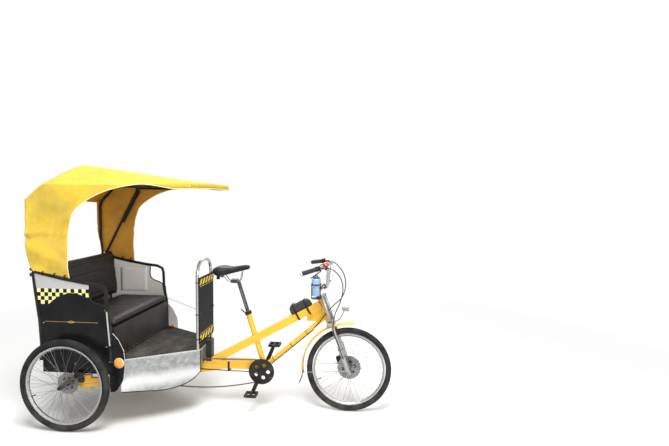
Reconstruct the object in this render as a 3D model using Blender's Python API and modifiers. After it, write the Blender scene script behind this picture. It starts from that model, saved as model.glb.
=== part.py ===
"""A three-wheeled cycle rickshaw: a cab for two passengers under a folding hood, pedalled from in front.

Metres, +X forward, +Y the vehicle's left, +Z up. The origin is on the ground, midway between the axles.
Every "ahead" size is measured forward from the rear axle, every "setback" back from the front axle, and
every height from the ground.
"""

from math import atan2, cos, pi, radians, sin, tau

import bmesh
import bpy
from mathutils import Matrix, Vector

# Whole vehicle
WHEELBASE = 2.0
HALF_TRACK = 0.53
GAP = 0.0003
RUNNING_GAP = 0.0006
OVERRUN = 0.02

# Tyres and wire wheels, alike front and rear
TYRE_RADIUS = 0.334
TYRE_WIDTH = 0.048
TREAD_WIDTH = 0.022
BEAD_WIDTH = 0.022
RIM_RADIUS = 0.286
RIM_DEPTH = 0.018
RIM_WIDTH = 0.027
RIM_CROWN_WIDTH = 0.012
SPOKE_RADIUS = 0.0012
SPOKE_STAGGER = 0.0016
SPOKE_RIM_OFFSET = 0.003
HUB_RADIUS = 0.016
FLANGE_RADIUS = 0.027
FLANGE_THICKNESS = 0.0064
DISC_STANDOFF = 0.003
DISC_THICKNESS = 0.0022

# Front wheel
FRONT_HUB_HALF_LENGTH = 0.044
FRONT_FLANGE_OFFSET = 0.030
FRONT_DISC_RADIUS = 0.095
FRONT_AXLE_RADIUS = 0.0045
FRONT_SPOKES = 36

# Rear wheels and the axle through them
REAR_HUB_HALF_LENGTH = 0.040
REAR_FLANGE_OFFSET = 0.030
REAR_DISC_RADIUS = 0.080
REAR_AXLE_RADIUS = 0.008
AXLE_NUT_RADIUS = 0.015
AXLE_NUT_THICKNESS = 0.012
REAR_SPOKES = 48

# Spine beam and bottom bracket
CRANK_SETBACK = 0.686
CRANK_AHEAD = WHEELBASE - CRANK_SETBACK
CRANK_HEIGHT = 0.310
SPINE_HALF_WIDTH = 0.028
SPINE_REAR_AHEAD = 0.345
SPINE_FRONT_SETBACK = 0.698
SPINE_FRONT_AHEAD = WHEELBASE - SPINE_FRONT_SETBACK
SPINE_TOP = 0.362
SPINE_RISE = 0.026
SPINE_BOTTOM = 0.300
SPINE_DROP = 0.034
SPINE_DROP_REAR_SETBACK = 1.300
SPINE_DROP_REAR_AHEAD = WHEELBASE - SPINE_DROP_REAR_SETBACK
SPINE_DROP_FRONT_SETBACK = 1.200
SPINE_DROP_FRONT_AHEAD = WHEELBASE - SPINE_DROP_FRONT_SETBACK
SPINE_SLIM_SETBACK = 0.990
SPINE_SLIM_AHEAD = WHEELBASE - SPINE_SLIM_SETBACK
SHELL_RADIUS = 0.024
SHELL_HALF_WIDTH = 0.036
SPINDLE_RADIUS = 0.010

# Main tube, from the spine up to the head tube
MAIN_TUBE_FOOT_SETBACK = 1.200
MAIN_TUBE_FOOT_HEIGHT = 0.3085
MAIN_TUBE_HEAD_REACH = 0.1468
MAIN_TUBE_DEPTH = 0.058
MAIN_TUBE_WIDTH = 0.056

# Seat tube, post and saddle
SEAT_TUBE_TOP_SETBACK = 0.813
SEAT_TUBE_TOP_AHEAD = WHEELBASE - SEAT_TUBE_TOP_SETBACK
SEAT_TUBE_TOP_HEIGHT = 0.776
SEAT_ANGLE = 72.6
SEAT_TUBE_RADIUS = 0.022
SEAT_TUBE_FOOT_BELOW = 0.470
POST_RADIUS = 0.0145
POST_INSERTION = 0.150
POST_RISE = 0.252
POST_LAYBACK = 0.030
POST_DOWN_TRAVEL = 0.050
BORE_SPARE = 0.015
COLLAR_HEIGHT = 0.026
COLLAR_THICKNESS = 0.005
SADDLE_LENGTH = 0.290
SADDLE_WIDTH = 0.190
SADDLE_HEIGHT = 0.095
SADDLE_BEHIND_POST = 0.1966
SADDLE_OVER_POST = 0.1315
RAIL_WIRE_RADIUS = 0.0035
RAIL_WIRE_HALF_SPACING = 0.022
CLAMP_LENGTH = 0.050
CLAMP_WIDTH = 0.058
CLAMP_DEPTH = 0.026

# Down tube
DOWN_TUBE_OVER_CRANK = 0.0131
DOWN_TUBE_HEAD_REACH = 0.0424
DOWN_TUBE_RADIUS = 0.0175

# Head tube and the steering axis through it
HEAD_FOOT_SETBACK = 0.168
HEAD_FOOT_AHEAD = WHEELBASE - HEAD_FOOT_SETBACK
HEAD_FOOT_HEIGHT = 0.715
HEAD_ANGLE = 70.35
HEAD_LENGTH = 0.193
HEAD_RADIUS = 0.0195
STEERER_RADIUS = 0.0143
GUSSET_THICKNESS = 0.006
GUSSET_LENGTH = 0.135
GUSSET_HEIGHT = 0.190

# Fork
LEG_OFFSET = 0.0301
LEG_HALF_SPACING = 0.068
LEG_RADIUS = 0.018
STANCHION_RADIUS = 0.013
STANCHION_LENGTH = 0.175
LEG_FOOT_LENGTH = 0.018
CROWN_DEPTH = 0.030
CROWN_LENGTH = 0.052
CROWN_DROP = 0.0036

# Stem and handlebar
STEM_RADIUS = 0.0145
STEM_RISE = 0.052
STEM_COLLAR_RADIUS = 0.0195
STEM_COLLAR_HEIGHT = 0.014
STEM_CAP_HEIGHT = 0.006
BAR_SETBACK = 0.200
BAR_AHEAD = WHEELBASE - BAR_SETBACK
BAR_HEIGHT = 0.992
BAR_CLAMP_RADIUS = 0.019
BAR_CLAMP_LENGTH = 0.046
BAR_RADIUS = 0.0125
BAR_REACH = 0.131
BAR_RISE = 0.176
BAR_HALF_WIDTH = 0.300
BAR_BEND = 0.030
GRIP_RADIUS = 0.0165
GRIP_LENGTH = 0.128
GRIP_FLANGE_RADIUS = 0.020
GRIP_FLANGE_LENGTH = 0.006
LEVER_THICKNESS = 0.009
LEVER_CLAMP_RADIUS = 0.0195
LEVER_CLAMP_LENGTH = 0.024
LEVER_LENGTH = 0.095
LEVER_DROP = 0.030

# Front mudguard, lamp, bottle and its cage
FENDER_RADIUS = 0.366
FENDER_WIDTH = 0.058
FENDER_CROWN = 0.012
FENDER_THICKNESS = 0.002
FENDER_FRONT_ANGLE = 84.0
FENDER_REAR_ANGLE = 188.0
FENDER_STAY_RADIUS = 0.002
FENDER_STAY_RISE = 0.020
FENDER_BOLT_RADIUS = 0.005
FENDER_BOLT_LENGTH = 0.014
LAMP_SETBACK = 0.032
LAMP_AHEAD = WHEELBASE - LAMP_SETBACK
LAMP_HEIGHT = 0.823
LAMP_RADIUS = 0.027
LAMP_LENGTH = 0.052
LAMP_ARM_RADIUS = 0.005
BOTTLE_SETBACK = 0.256
BOTTLE_AHEAD = WHEELBASE - BOTTLE_SETBACK
BOTTLE_HEIGHT = 0.912
BOTTLE_RADIUS = 0.036
BOTTLE_LENGTH = 0.178
BOTTLE_SIDE_OFFSET = 0.062
CAGE_WIRE_RADIUS = 0.003
CAGE_RISE = 0.105

# Crankset and pedals
CHAIN_LINE = 0.050
CHAIN_RING_RADIUS = 0.0895
CHAIN_RING_THICKNESS = 0.003
CHAIN_RING_TEETH = 44
TOOTH_HEIGHT = 0.006
TEETH_CLEARANCE = 0.0006
GUARD_RADIUS = 0.1025
GUARD_THICKNESS = 0.003
GUARD_OFFSET = 0.0635
SPIDER_HOLES = 5
SPIDER_HOLE_RADIUS = 0.018
SPIDER_HOLE_CIRCLE = 0.050
SPIDER_BOSS_RADIUS = 0.021
CRANK_LENGTH = 0.170
CRANK_INNER_OFFSET = 0.066
CRANK_THICKNESS = 0.016
CRANK_ROOT_RADIUS = 0.018
CRANK_END_RADIUS = 0.014
CRANK_ANGLE = 247.5
PEDAL_LENGTH = 0.094
PEDAL_WIDTH = 0.082
PEDAL_THICKNESS = 0.020
PEDAL_BAR = 0.013
PEDAL_SPINDLE_RADIUS = 0.007
PEDAL_SPINDLE_LENGTH = 0.012

# Chain, one loop round the chain ring and the sprocket on the rear axle
CHAIN_PITCH = 0.0127
CHAIN_HEIGHT = 0.0085
CHAIN_OUTER_WIDTH = 0.0080
CHAIN_INNER_WIDTH = 0.0050
CHAIN_SAG = 0.098
SPROCKET_RADIUS = 0.045
SPROCKET_THICKNESS = 0.003
SPROCKET_TEETH = 22

# Subframe that carries the rear axle and the deck
CARRIER_ARM_OFFSET = 0.443
CARRIER_ARM_WIDTH = 0.026
CARRIER_ARM_HEIGHT = 0.062
CARRIER_REAR_AHEAD = -0.040
CARRIER_BLOCK_AHEAD = 0.060
CARRIER_BLOCK_LENGTH = 0.090
CARRIER_BLOCK_HEIGHT = 0.098
CARRIER_CROSS_AHEAD = 0.290
CARRIER_CROSS_LENGTH = 0.050
CARRIER_CROSS_HEIGHT = 0.050
CARRIER_POST_LENGTH = 0.030

# Cab: deck, side panels and rails
CAB_HALF_WIDTH = 0.460
PANEL_THICKNESS = 0.006
DECK_TOP = 0.500
DECK_THICKNESS = 0.018
DECK_REAR_AHEAD = -0.240
DECK_TAPER_AHEAD = 0.330
DECK_FRONT_SETBACK = 1.150
DECK_FRONT_AHEAD = WHEELBASE - DECK_FRONT_SETBACK
DECK_FRONT_HALF_WIDTH = 0.148
RAIL_RADIUS = 0.0125
RAIL_REAR_AHEAD = -0.268
RAIL_LENGTH = 0.577
RAIL_RISE = 0.632
PANEL_REAR_AHEAD = -0.268
PANEL_LENGTH = 0.577
PANEL_BOTTOM = 0.400
PANEL_RISE = 0.732
LAMP_PLATE_AHEAD = 0.295
LAMP_PLATE_LENGTH = 0.116
LAMP_PLATE_BOTTOM = 0.270
LAMP_PLATE_RISE = 0.440
MARKER_AHEAD = 0.372
MARKER_HEIGHT = 0.487
MARKER_RADIUS = 0.033
MARKER_DEPTH = 0.016
BACK_PANEL_THICKNESS = 0.004
BACK_PANEL_TOP = 1.085
CROSSBAR_AHEAD = -0.268
CROSSBAR_HEIGHT = 1.112

# Seat
SEAT_BOX_FRONT_AHEAD = 0.322
SEAT_BOX_THICKNESS = 0.012
SEAT_BOARD_TOP = 0.734
CUSHION_REAR_AHEAD = -0.130
CUSHION_THICKNESS = 0.062
CUSHION_FRONT_AHEAD = 0.330
CUSHION_EDGE = 0.018
BACKREST_THICKNESS = 0.075
BACKREST_TOP = 1.190
SIDE_CLEARANCE = 0.004

# Skirt under the front of the deck
SKIRT_THICKNESS = 0.003
SKIRT_REAR_AHEAD = 0.375
SKIRT_BEND_DROP = 0.110
SKIRT_DROP = 0.270
SKIRT_FLARE = 0.020

# Hoop and board in front of the passengers
HOOP_SETBACK = 1.168
HOOP_AHEAD = WHEELBASE - HOOP_SETBACK
HOOP_HALF_WIDTH = 0.150
HOOP_TOP = 1.182
HOOP_RADIUS = 0.0125
HOOP_CORNER = 0.125
BOARD_BOTTOM = 0.545
BOARD_TOP = 1.060
BOARD_THICKNESS = 0.005
BOARD_HALF_WIDTH = 0.160
BRACKET_LENGTH = 0.045
BRACKET_WIDTH = 0.060
BRACKET_HEIGHT = 0.165
BRACKET_TOP = 0.531

# Hood and its bows
HOOD_REAR_AHEAD = -0.315
HOOD_LENGTH = 1.215
HOOD_FOOT = 1.086
EAVE_HEIGHT = 1.765
RIDGE_HEIGHT = 1.924
RIDGE_REAR_AHEAD = -0.185
VISOR_HEIGHT = 1.786
NARROW_AHEAD = 0.335
VISOR_HALF_WIDTH = 0.415
HOOD_THICKNESS = 0.005
HOOD_LIP = 0.024
HOOD_BAND = 0.040
HOOD_HEM = 0.055
WINDOW_TOP = 1.655
BOW_RADIUS = 0.010
BOW_SEAT = 0.040
BOW_FOOT_RISE = 0.026
BOW_FOOT_HEIGHT = DECK_TOP + RAIL_RISE + BOW_FOOT_RISE
MAIN_BOW_FOOT_AHEAD = -0.258
MAIN_BOW_TOP_AHEAD = 0.063
REAR_BOW_FOOT_AHEAD = -0.284
BRACKET_PLATE_LENGTH = 0.062
BRACKET_PLATE_HEIGHT = 0.060
BRACKET_PLATE_THICKNESS = 0.012

# Bag strapped to the main tube
BAG_BEHIND_HEAD = 0.163
BAG_LENGTH = 0.190
BAG_RADIUS = 0.038
BAG_CLEARANCE = 0.0005

ROUND = 20
HUB_STEPS = 16
WHEEL_STEPS = 36

YELLOW = (0.86, 0.58, 0.03)
HOOD_YELLOW = (0.83, 0.62, 0.04)
BLACK = (0.02, 0.02, 0.022)
RUBBER = (0.045, 0.043, 0.04)
SILVER = (0.62, 0.62, 0.61)
STEEL = (0.45, 0.45, 0.46)
AMBER = (0.85, 0.36, 0.03)
BLUE = (0.16, 0.34, 0.75)
SIDES = (("right", -1), ("left", 1))


def start_scene():
    """Empties the scene and makes the two collections."""
    for old in list(bpy.data.objects):
        bpy.data.objects.remove(old, do_unlink=True)
    made = []
    for name in ("cycle_rickshaw", "cutters"):
        collection = bpy.data.collections.new(name)
        bpy.context.scene.collection.children.link(collection)
        made.append(collection)
    return made


PARTS, CUTTERS = start_scene()


def along(ahead):
    """World x of a place measured forward from the rear axle."""
    return ahead - WHEELBASE / 2


def mix(low, high, share):
    """The value a share of the way from low to high."""
    return low + (high - low) * share


def place(ahead, side, height):
    """World point from a distance ahead of the rear axle, a side offset and a height."""
    return Vector((along(ahead), side, height))


def paint(obj, colour, roughness=0.5, metallic=0.0):
    """Gives an object its own plain material."""
    material = bpy.data.materials.new(obj.name)
    material.use_nodes = True
    shader = material.node_tree.nodes["Principled BSDF"]
    shader.inputs["Base Color"].default_value = (*colour, 1.0)
    shader.inputs["Roughness"].default_value = roughness
    shader.inputs["Metallic"].default_value = metallic
    obj.data.materials.clear()
    obj.data.materials.append(material)
    return obj


def link(name, data, collection=None):
    """Makes an object of some data, in the parts' collection unless told otherwise."""
    obj = bpy.data.objects.new(name, data)
    (collection or PARTS).objects.link(obj)
    return obj


def mesh_object(name, bm, smooth=True):
    """Turns a bmesh into a part, shaded smooth with sharp edges."""
    mesh = bpy.data.meshes.new(name)
    bmesh.ops.recalc_face_normals(bm, faces=bm.faces)
    bm.to_mesh(mesh)
    bm.free()
    if smooth:
        mesh.shade_smooth()
        mesh.set_sharp_from_angle(angle=radians(35))
    return link(name, mesh)


def solid_from(obj):
    """Makes a mesh object of a curve, or of an object with modifiers, and removes the first."""
    bpy.context.view_layer.update()
    graph = bpy.context.evaluated_depsgraph_get()
    mesh = bpy.data.meshes.new_from_object(obj.evaluated_get(graph))
    bm = bmesh.new()
    bm.from_mesh(mesh)
    bmesh.ops.remove_doubles(bm, verts=bm.verts, dist=GAP / 10)
    bmesh.ops.recalc_face_normals(bm, faces=bm.faces)
    bm.to_mesh(mesh)
    bm.free()
    name, matrix = obj.name, obj.matrix_world.copy()
    bpy.data.objects.remove(obj, do_unlink=True)
    made = link(name, mesh)
    made.matrix_world = matrix
    return made


def as_tool(obj):
    """Turns an object into a hidden tool for the Boolean modifiers."""
    PARTS.objects.unlink(obj)
    CUTTERS.objects.link(obj)
    obj.hide_render = True
    obj.display_type = "WIRE"
    return obj


def boolean(target, tool, operation="DIFFERENCE"):
    """Cuts a tool from a target, or joins it on."""
    modifier = target.modifiers.new(operation.title(), "BOOLEAN")
    modifier.object = tool
    modifier.operation = operation
    modifier.solver = "EXACT"
    return target


def cut(target, *tools):
    for tool in tools:
        boolean(target, tool)
    return target


def join(target, *tools):
    for tool in tools:
        boolean(target, as_tool(tool), "UNION")
    return target


def box(name, low, high):
    """A box between two corners."""
    bm = bmesh.new()
    size = Vector(high) - Vector(low)
    middle = (Vector(high) + Vector(low)) / 2
    bmesh.ops.create_cube(bm, size=1.0, matrix=Matrix.Translation(middle) @ Matrix.Diagonal((*size, 1.0)))
    return mesh_object(name, bm, smooth=False)


def bar(name, start, end, width, depth):
    """A straight bar of oblong section, its width across Y, between two points of one upright plane."""
    start, end = Vector(start), Vector(end)
    run = end - start
    bm = bmesh.new()
    turn = Matrix.Rotation(-atan2(run.z, run.x), 4, "Y")
    grow = Matrix.Diagonal((run.length, width, depth, 1.0))
    bmesh.ops.create_cube(bm, size=1.0, matrix=Matrix.Translation((start + end) / 2) @ turn @ grow)
    return mesh_object(name, bm, smooth=False)


def rod(name, start, end, radius, sides=ROUND, end_radius=None):
    """A straight round rod, or a cone where the ends differ."""
    start, end = Vector(start), Vector(end)
    run = end - start
    bm = bmesh.new()
    turn = run.to_track_quat("Z", "Y").to_matrix().to_4x4()
    tip = radius if end_radius is None else end_radius
    bmesh.ops.create_cone(
        bm, cap_ends=True, segments=sides, radius1=radius, radius2=tip, depth=run.length,
        matrix=Matrix.Translation((start + end) / 2) @ turn,
    )
    return mesh_object(name, bm)


def rounded(points, corner, steps=3):
    """A polyline whose inner corners are replaced by arcs that start the corner length away."""
    points = [Vector(point) for point in points]
    made = [points[0]]
    for before, here, after in zip(points, points[1:], points[2:]):
        reach = min(corner, (here - before).length / 2, (after - here).length / 2)
        first = here + (before - here).normalized() * reach
        last = here + (after - here).normalized() * reach
        for step in range(steps + 1):
            t = step / steps
            made.append(first * (1 - t) ** 2 + here * 2 * t * (1 - t) + last * t**2)
    made.append(points[-1])
    return made


def tube(name, points, radius, fineness=2):
    """A round tube along a path, as a curve with filled caps."""
    curve = bpy.data.curves.new(name, "CURVE")
    curve.dimensions = "3D"
    curve.bevel_depth = radius
    curve.bevel_resolution = fineness
    curve.use_fill_caps = True
    spline = curve.splines.new("POLY")
    spline.points.add(len(points) - 1)
    for knot, point in zip(spline.points, points):
        knot.co = (*point, 1.0)
    return link(name, curve)


def grown_tube(name, points, radius, fineness=2):
    """A cutter that follows a tube, larger than it by the gap all round and at both ends."""
    points = [Vector(point) for point in points]
    points[0] += (points[0] - points[1]).normalized() * GAP
    points[-1] += (points[-1] - points[-2]).normalized() * GAP
    return as_tool(solid_from(tube(name, points, radius + GAP, fineness)))


def prism(name, outline, thickness, level=0.0, flat=False):
    """A flat plate of one outline: upright across Y at a side offset, or lying flat at a height."""
    bm = bmesh.new()
    sides = []
    for face in (-thickness / 2, thickness / 2):
        if flat:
            sides.append([bm.verts.new((x, y, level + face)) for x, y in outline])
        else:
            sides.append([bm.verts.new((x, level + face, z)) for x, z in outline])
        bm.faces.new(sides[-1])
    count = len(outline)
    for i in range(count):
        k = (i + 1) % count
        bm.faces.new((sides[0][i], sides[0][k], sides[1][k], sides[1][i]))
    return mesh_object(name, bm, smooth=False)


def pierced(name, outlines, thickness, level=0.0, flat=False):
    """A flat plate of one outline with holes, filled as a curve and laid like a prism."""
    curve = bpy.data.curves.new(name, "CURVE")
    curve.dimensions = "2D"
    curve.fill_mode = "BOTH"
    curve.extrude = thickness / 2
    for outline in outlines:
        spline = curve.splines.new("POLY")
        spline.points.add(len(outline) - 1)
        for knot, point in zip(spline.points, outline):
            knot.co = (*point, 0.0, 1.0)
        spline.use_cyclic_u = True
    made = link(name, curve)
    made.location = (0, 0, level) if flat else (0, level, 0)
    if not flat:
        made.rotation_euler = (pi / 2, 0, 0)
    return solid_from(made)


def folded(name, path, thickness, half_width):
    """A sheet folded along a side path of (ahead, height) places and centred on that path."""
    path = [Vector((along(ahead), height)) for ahead, height in path]
    edges = [(after - before).normalized() for before, after in zip(path, path[1:])]
    upper, lower = [], []
    for i, point in enumerate(path):
        before, after = edges[max(i - 1, 0)], edges[min(i, len(edges) - 1)]
        square = Vector((-before.y - after.y, before.x + after.x))
        offset = square * thickness / square.length_squared
        upper.append(point + offset)
        lower.append(point - offset)
    return prism(name, upper + lower[::-1], 2 * half_width)


def circle(centre_x, centre_z, radius, steps=ROUND):
    """The outline of a circle, for a plate."""
    turns = [tau * i / steps for i in range(steps)]
    return [(centre_x + radius * cos(turn), centre_z + radius * sin(turn)) for turn in turns]


def turned(name, profile, steps, centre, closed=True):
    """A turned piece whose axis lies across Y, from a profile of (radius, side offset) pairs."""
    mesh = bpy.data.meshes.new(name)
    count = len(profile)
    edges = [(i, (i + 1) % count) for i in range(count if closed else count - 1)]
    mesh.from_pydata([(radius, 0, level) for radius, level in profile], edges, [])
    obj = link(name, mesh)
    screw = obj.modifiers.new("Screw", "SCREW")
    screw.angle = tau
    screw.steps = screw.render_steps = steps
    screw.use_merge_vertices = True
    screw.merge_threshold = GAP / 10
    screw.use_normal_calculate = False
    obj.rotation_euler = (-pi / 2, 0, 0)
    obj.location = centre
    return obj


def loft(name, rings, thickness=None, closed=False):
    """A surface through rings of points: a shell where it has a thickness, otherwise capped and solid."""
    bm = bmesh.new()
    rows = [[bm.verts.new(point) for point in ring] for ring in rings]
    count = len(rows[0])
    for row, after in zip(rows, rows[1:]):
        for i in range(count if closed else count - 1):
            k = (i + 1) % count
            bm.faces.new((row[i], row[k], after[k], after[i]))
    if thickness is None:
        bm.faces.new(rows[0])
        bm.faces.new(rows[-1])
    obj = mesh_object(name, bm)
    if thickness is not None:
        shell = obj.modifiers.new("Solidify", "SOLIDIFY")
        shell.thickness = thickness
        shell.offset = -1
        shell.use_even_offset = True
    return obj


def bevel(obj, width, segments=1):
    """Rounds the sharp edges of a piece."""
    modifier = obj.modifiers.new("Bevel", "BEVEL")
    modifier.width = width
    modifier.segments = segments
    modifier.limit_method = "ANGLE"
    modifier.angle_limit = radians(40)
    return obj


def pivot(name, centre):
    """An empty on a joint's axis, which its moving pieces hang from."""
    empty = link(name, None)
    empty.location = centre
    return empty


def hang(parent, *children):
    """Parents finished pieces to an empty and keeps them where they are."""
    bpy.context.view_layer.update()
    for child in children:
        child.parent = parent
        child.matrix_parent_inverse = parent.matrix_world.inverted()


def tyre(name, centre):
    """A round tyre whose bead sits on the rim."""
    profile_shares = (
        # radius share from rim to tread, half width share
        (0.0, 0.46), (0.22, 0.86), (0.55, 1.0), (0.85, 0.80), (1.0, 0.42),
    )
    height = TYRE_RADIUS - RIM_RADIUS - GAP
    half = TYRE_WIDTH / 2
    upper = [(RIM_RADIUS + GAP + height * rise, half * width) for rise, width in profile_shares]
    lower = [(radius, -level) for radius, level in reversed(upper)]
    return paint(turned(name, upper + lower, WHEEL_STEPS, centre), RUBBER, 0.85)


def spokes(name, centre, count, flange_offset):
    """Crossed wire spokes from the two hub flanges to the rim, as loose prisms."""
    crossings = 3
    bm = bmesh.new()
    per_side = count // 2
    lean = crossings * tau / per_side
    inner, outer = FLANGE_RADIUS - SPOKE_STAGGER, RIM_RADIUS - RIM_DEPTH / 2
    for i in range(count):
        side = 1 if i % 2 else -1
        hole = i // 2
        trail = 1 if hole % 2 else -1
        start = tau * (hole / per_side + (0.5 / per_side if side > 0 else 0.0))
        end = start + trail * lean
        stagger = SPOKE_STAGGER * trail
        ends = [
            Vector((inner * cos(start), side * flange_offset + stagger, inner * sin(start))),
            Vector((outer * cos(end), side * SPOKE_RIM_OFFSET + stagger, outer * sin(end))),
        ]
        run = ends[1] - ends[0]
        turn = run.to_track_quat("Z", "Y").to_matrix().to_4x4()
        bmesh.ops.create_cone(
            bm, cap_ends=True, segments=3, radius1=SPOKE_RADIUS, radius2=SPOKE_RADIUS, depth=run.length,
            matrix=Matrix.Translation(Vector(centre) + (ends[0] + ends[1]) / 2) @ turn,
        )
    return mesh_object(name, bm, smooth=False)


def wire_wheel(name, centre, count, axle_radius, half_length, flange_offset, disc_radius, disc_side):
    """A rim, a bored hub with its brake disc and the laced spokes between them, as one piece."""
    rim_half, crown_half, bottom = RIM_WIDTH / 2, RIM_CROWN_WIDTH / 2, RIM_RADIUS - RIM_DEPTH
    rim = turned(
        name,
        [(RIM_RADIUS, rim_half), (RIM_RADIUS, -rim_half), (mix(RIM_RADIUS, bottom, 0.5), -rim_half),
         (bottom, -crown_half), (bottom, crown_half), (mix(RIM_RADIUS, bottom, 0.5), rim_half)],
        WHEEL_STEPS, centre,
    )
    bore = axle_radius + RUNNING_GAP
    inner, outer = flange_offset - FLANGE_THICKNESS / 2, flange_offset + FLANGE_THICKNESS / 2
    disc_in = outer + DISC_STANDOFF
    disc_out = disc_in + DISC_THICKNESS
    hub = turned(
        name + "_hub",
        [(HUB_RADIUS, half_length), (HUB_RADIUS, disc_out), (disc_radius, disc_out), (disc_radius, disc_in),
         (HUB_RADIUS, disc_in), (HUB_RADIUS, outer), (FLANGE_RADIUS, outer), (FLANGE_RADIUS, inner),
         (HUB_RADIUS, inner), (HUB_RADIUS, -inner), (FLANGE_RADIUS, -inner), (FLANGE_RADIUS, -outer),
         (HUB_RADIUS, -outer), (HUB_RADIUS, -half_length), (bore, -half_length), (bore, half_length)],
        HUB_STEPS, centre,
    )
    if disc_side < 0:
        hub.rotation_euler = (pi / 2, 0, 0)
    wires = spokes(name + "_spokes", centre, count, flange_offset)
    return paint(join(rim, hub, wires), SILVER, 0.35, 0.9)


def wheels():
    """The three wheels, each hung from an empty on its own axle."""
    front = place(WHEELBASE, 0, TYRE_RADIUS)
    hang(
        pivot("front_wheel_pivot", front),
        tyre("front_tyre", front),
        wire_wheel("front_wheel", front, FRONT_SPOKES, FRONT_AXLE_RADIUS, FRONT_HUB_HALF_LENGTH,
                   FRONT_FLANGE_OFFSET, FRONT_DISC_RADIUS, 1),
    )
    for word, side in SIDES:
        centre = place(0, side * HALF_TRACK, TYRE_RADIUS)
        hang(
            pivot(f"rear_wheel_{word}_pivot", centre),
            tyre(f"rear_tyre_{word}", centre),
            wire_wheel(f"rear_wheel_{word}", centre, REAR_SPOKES, REAR_AXLE_RADIUS, REAR_HUB_HALF_LENGTH,
                       REAR_FLANGE_OFFSET, REAR_DISC_RADIUS, -side),
        )


def toothed(centre_x, centre_z, radius, teeth, height):
    """The outline of a sprocket: three points for each tooth, a root and the two corners of a tip."""
    tooth_shares = ((0.0, 0.0), (0.38, 1.0), (0.62, 1.0))
    made = []
    for tooth in range(teeth):
        for turn, rise in tooth_shares:
            angle = tau * (tooth + turn + 0.25) / teeth
            reach = radius - height + height * rise
            made.append((centre_x + reach * cos(angle), centre_z + reach * sin(angle)))
    return made


def rear_axle():
    """The axle across the vehicle, with a nut outside each hub and the driven sprocket."""
    end = HALF_TRACK + REAR_HUB_HALF_LENGTH + GAP
    tip = end + AXLE_NUT_THICKNESS / 2
    obj = rod("rear_axle", place(0, -tip, TYRE_RADIUS), place(0, tip, TYRE_RADIUS), REAR_AXLE_RADIUS, 16)
    nuts = [
        rod(f"nut_{word}", place(0, side * end, TYRE_RADIUS),
            place(0, side * (end + AXLE_NUT_THICKNESS), TYRE_RADIUS), AXLE_NUT_RADIUS, 6)
        for word, side in SIDES
    ]
    reach = SPROCKET_RADIUS - CHAIN_HEIGHT / 2 - TEETH_CLEARANCE
    teeth = toothed(along(0), TYRE_RADIUS, reach, SPROCKET_TEETH, TOOTH_HEIGHT / 2)
    sprocket = prism("sprocket", teeth, SPROCKET_THICKNESS, -CHAIN_LINE)
    return paint(join(obj, *nuts, sprocket), STEEL, 0.4, 0.9)


def chain_path():
    """Points a link apart round the chain: the ring, the slack lower run, the sprocket and the tight run."""
    front, rear = Vector((CRANK_AHEAD, CRANK_HEIGHT)), Vector((0, TYRE_RADIUS))
    rise = atan2(front.y + CHAIN_RING_RADIUS - rear.y - SPROCKET_RADIUS, CRANK_AHEAD)
    dip = 4 * CHAIN_SAG / CRANK_AHEAD
    route = []
    arc_steps = 24
    for step in range(arc_steps + 1):
        angle = mix(pi / 2 + rise, -pi / 2 - dip, step / arc_steps)
        route.append(front + CHAIN_RING_RADIUS * Vector((cos(angle), sin(angle))))
    low_front = route[-1]
    low_rear = rear + SPROCKET_RADIUS * Vector((cos(-pi / 2 + dip), sin(-pi / 2 + dip)))
    run_steps = 30
    for step in range(1, run_steps):
        t = step / run_steps
        point = low_front.lerp(low_rear, t)
        point.y -= 4 * t * (1 - t) * CHAIN_SAG
        route.append(point)
    for step in range(arc_steps + 1):
        angle = mix(-pi / 2 + dip, -3 * pi / 2 + rise, step / arc_steps)
        route.append(rear + SPROCKET_RADIUS * Vector((cos(angle), sin(angle))))
    route.append(route[0])
    lengths = [0]
    for before, after in zip(route, route[1:]):
        lengths.append(lengths[-1] + (after - before).length)
    links = 2 * round(lengths[-1] / CHAIN_PITCH / 2)
    made, leg = [], 0
    for i in range(links):
        target = lengths[-1] * i / links
        while lengths[leg + 1] < target:
            leg += 1
        share = (target - lengths[leg]) / (lengths[leg + 1] - lengths[leg])
        made.append(route[leg].lerp(route[leg + 1], share))
    return made


def chain():
    """The chain as one loop of links, alternately wide and narrow."""
    path = chain_path()
    count = len(path)
    rings = []
    for i, point in enumerate(path):
        tangent = (path[(i + 1) % count] - path[i - 1]).normalized()
        across = Vector((-tangent.y, tangent.x)) * CHAIN_HEIGHT / 2
        half = (CHAIN_OUTER_WIDTH if i % 2 else CHAIN_INNER_WIDTH) / 2
        rings.append([
            place(point.x + rise * across.x, -CHAIN_LINE + side * half, point.y + rise * across.y)
            for rise, side in ((1, 1), (1, -1), (-1, -1), (-1, 1))
        ])
    bm = bmesh.new()
    rows = [[bm.verts.new(corner) for corner in ring] for ring in rings]
    for i, row in enumerate(rows):
        after = rows[(i + 1) % count]
        for k in range(4):
            bm.faces.new((row[k], row[(k + 1) % 4], after[(k + 1) % 4], after[k]))
    return paint(mesh_object("chain", bm, smooth=False), STEEL, 0.5, 0.8)


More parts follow.
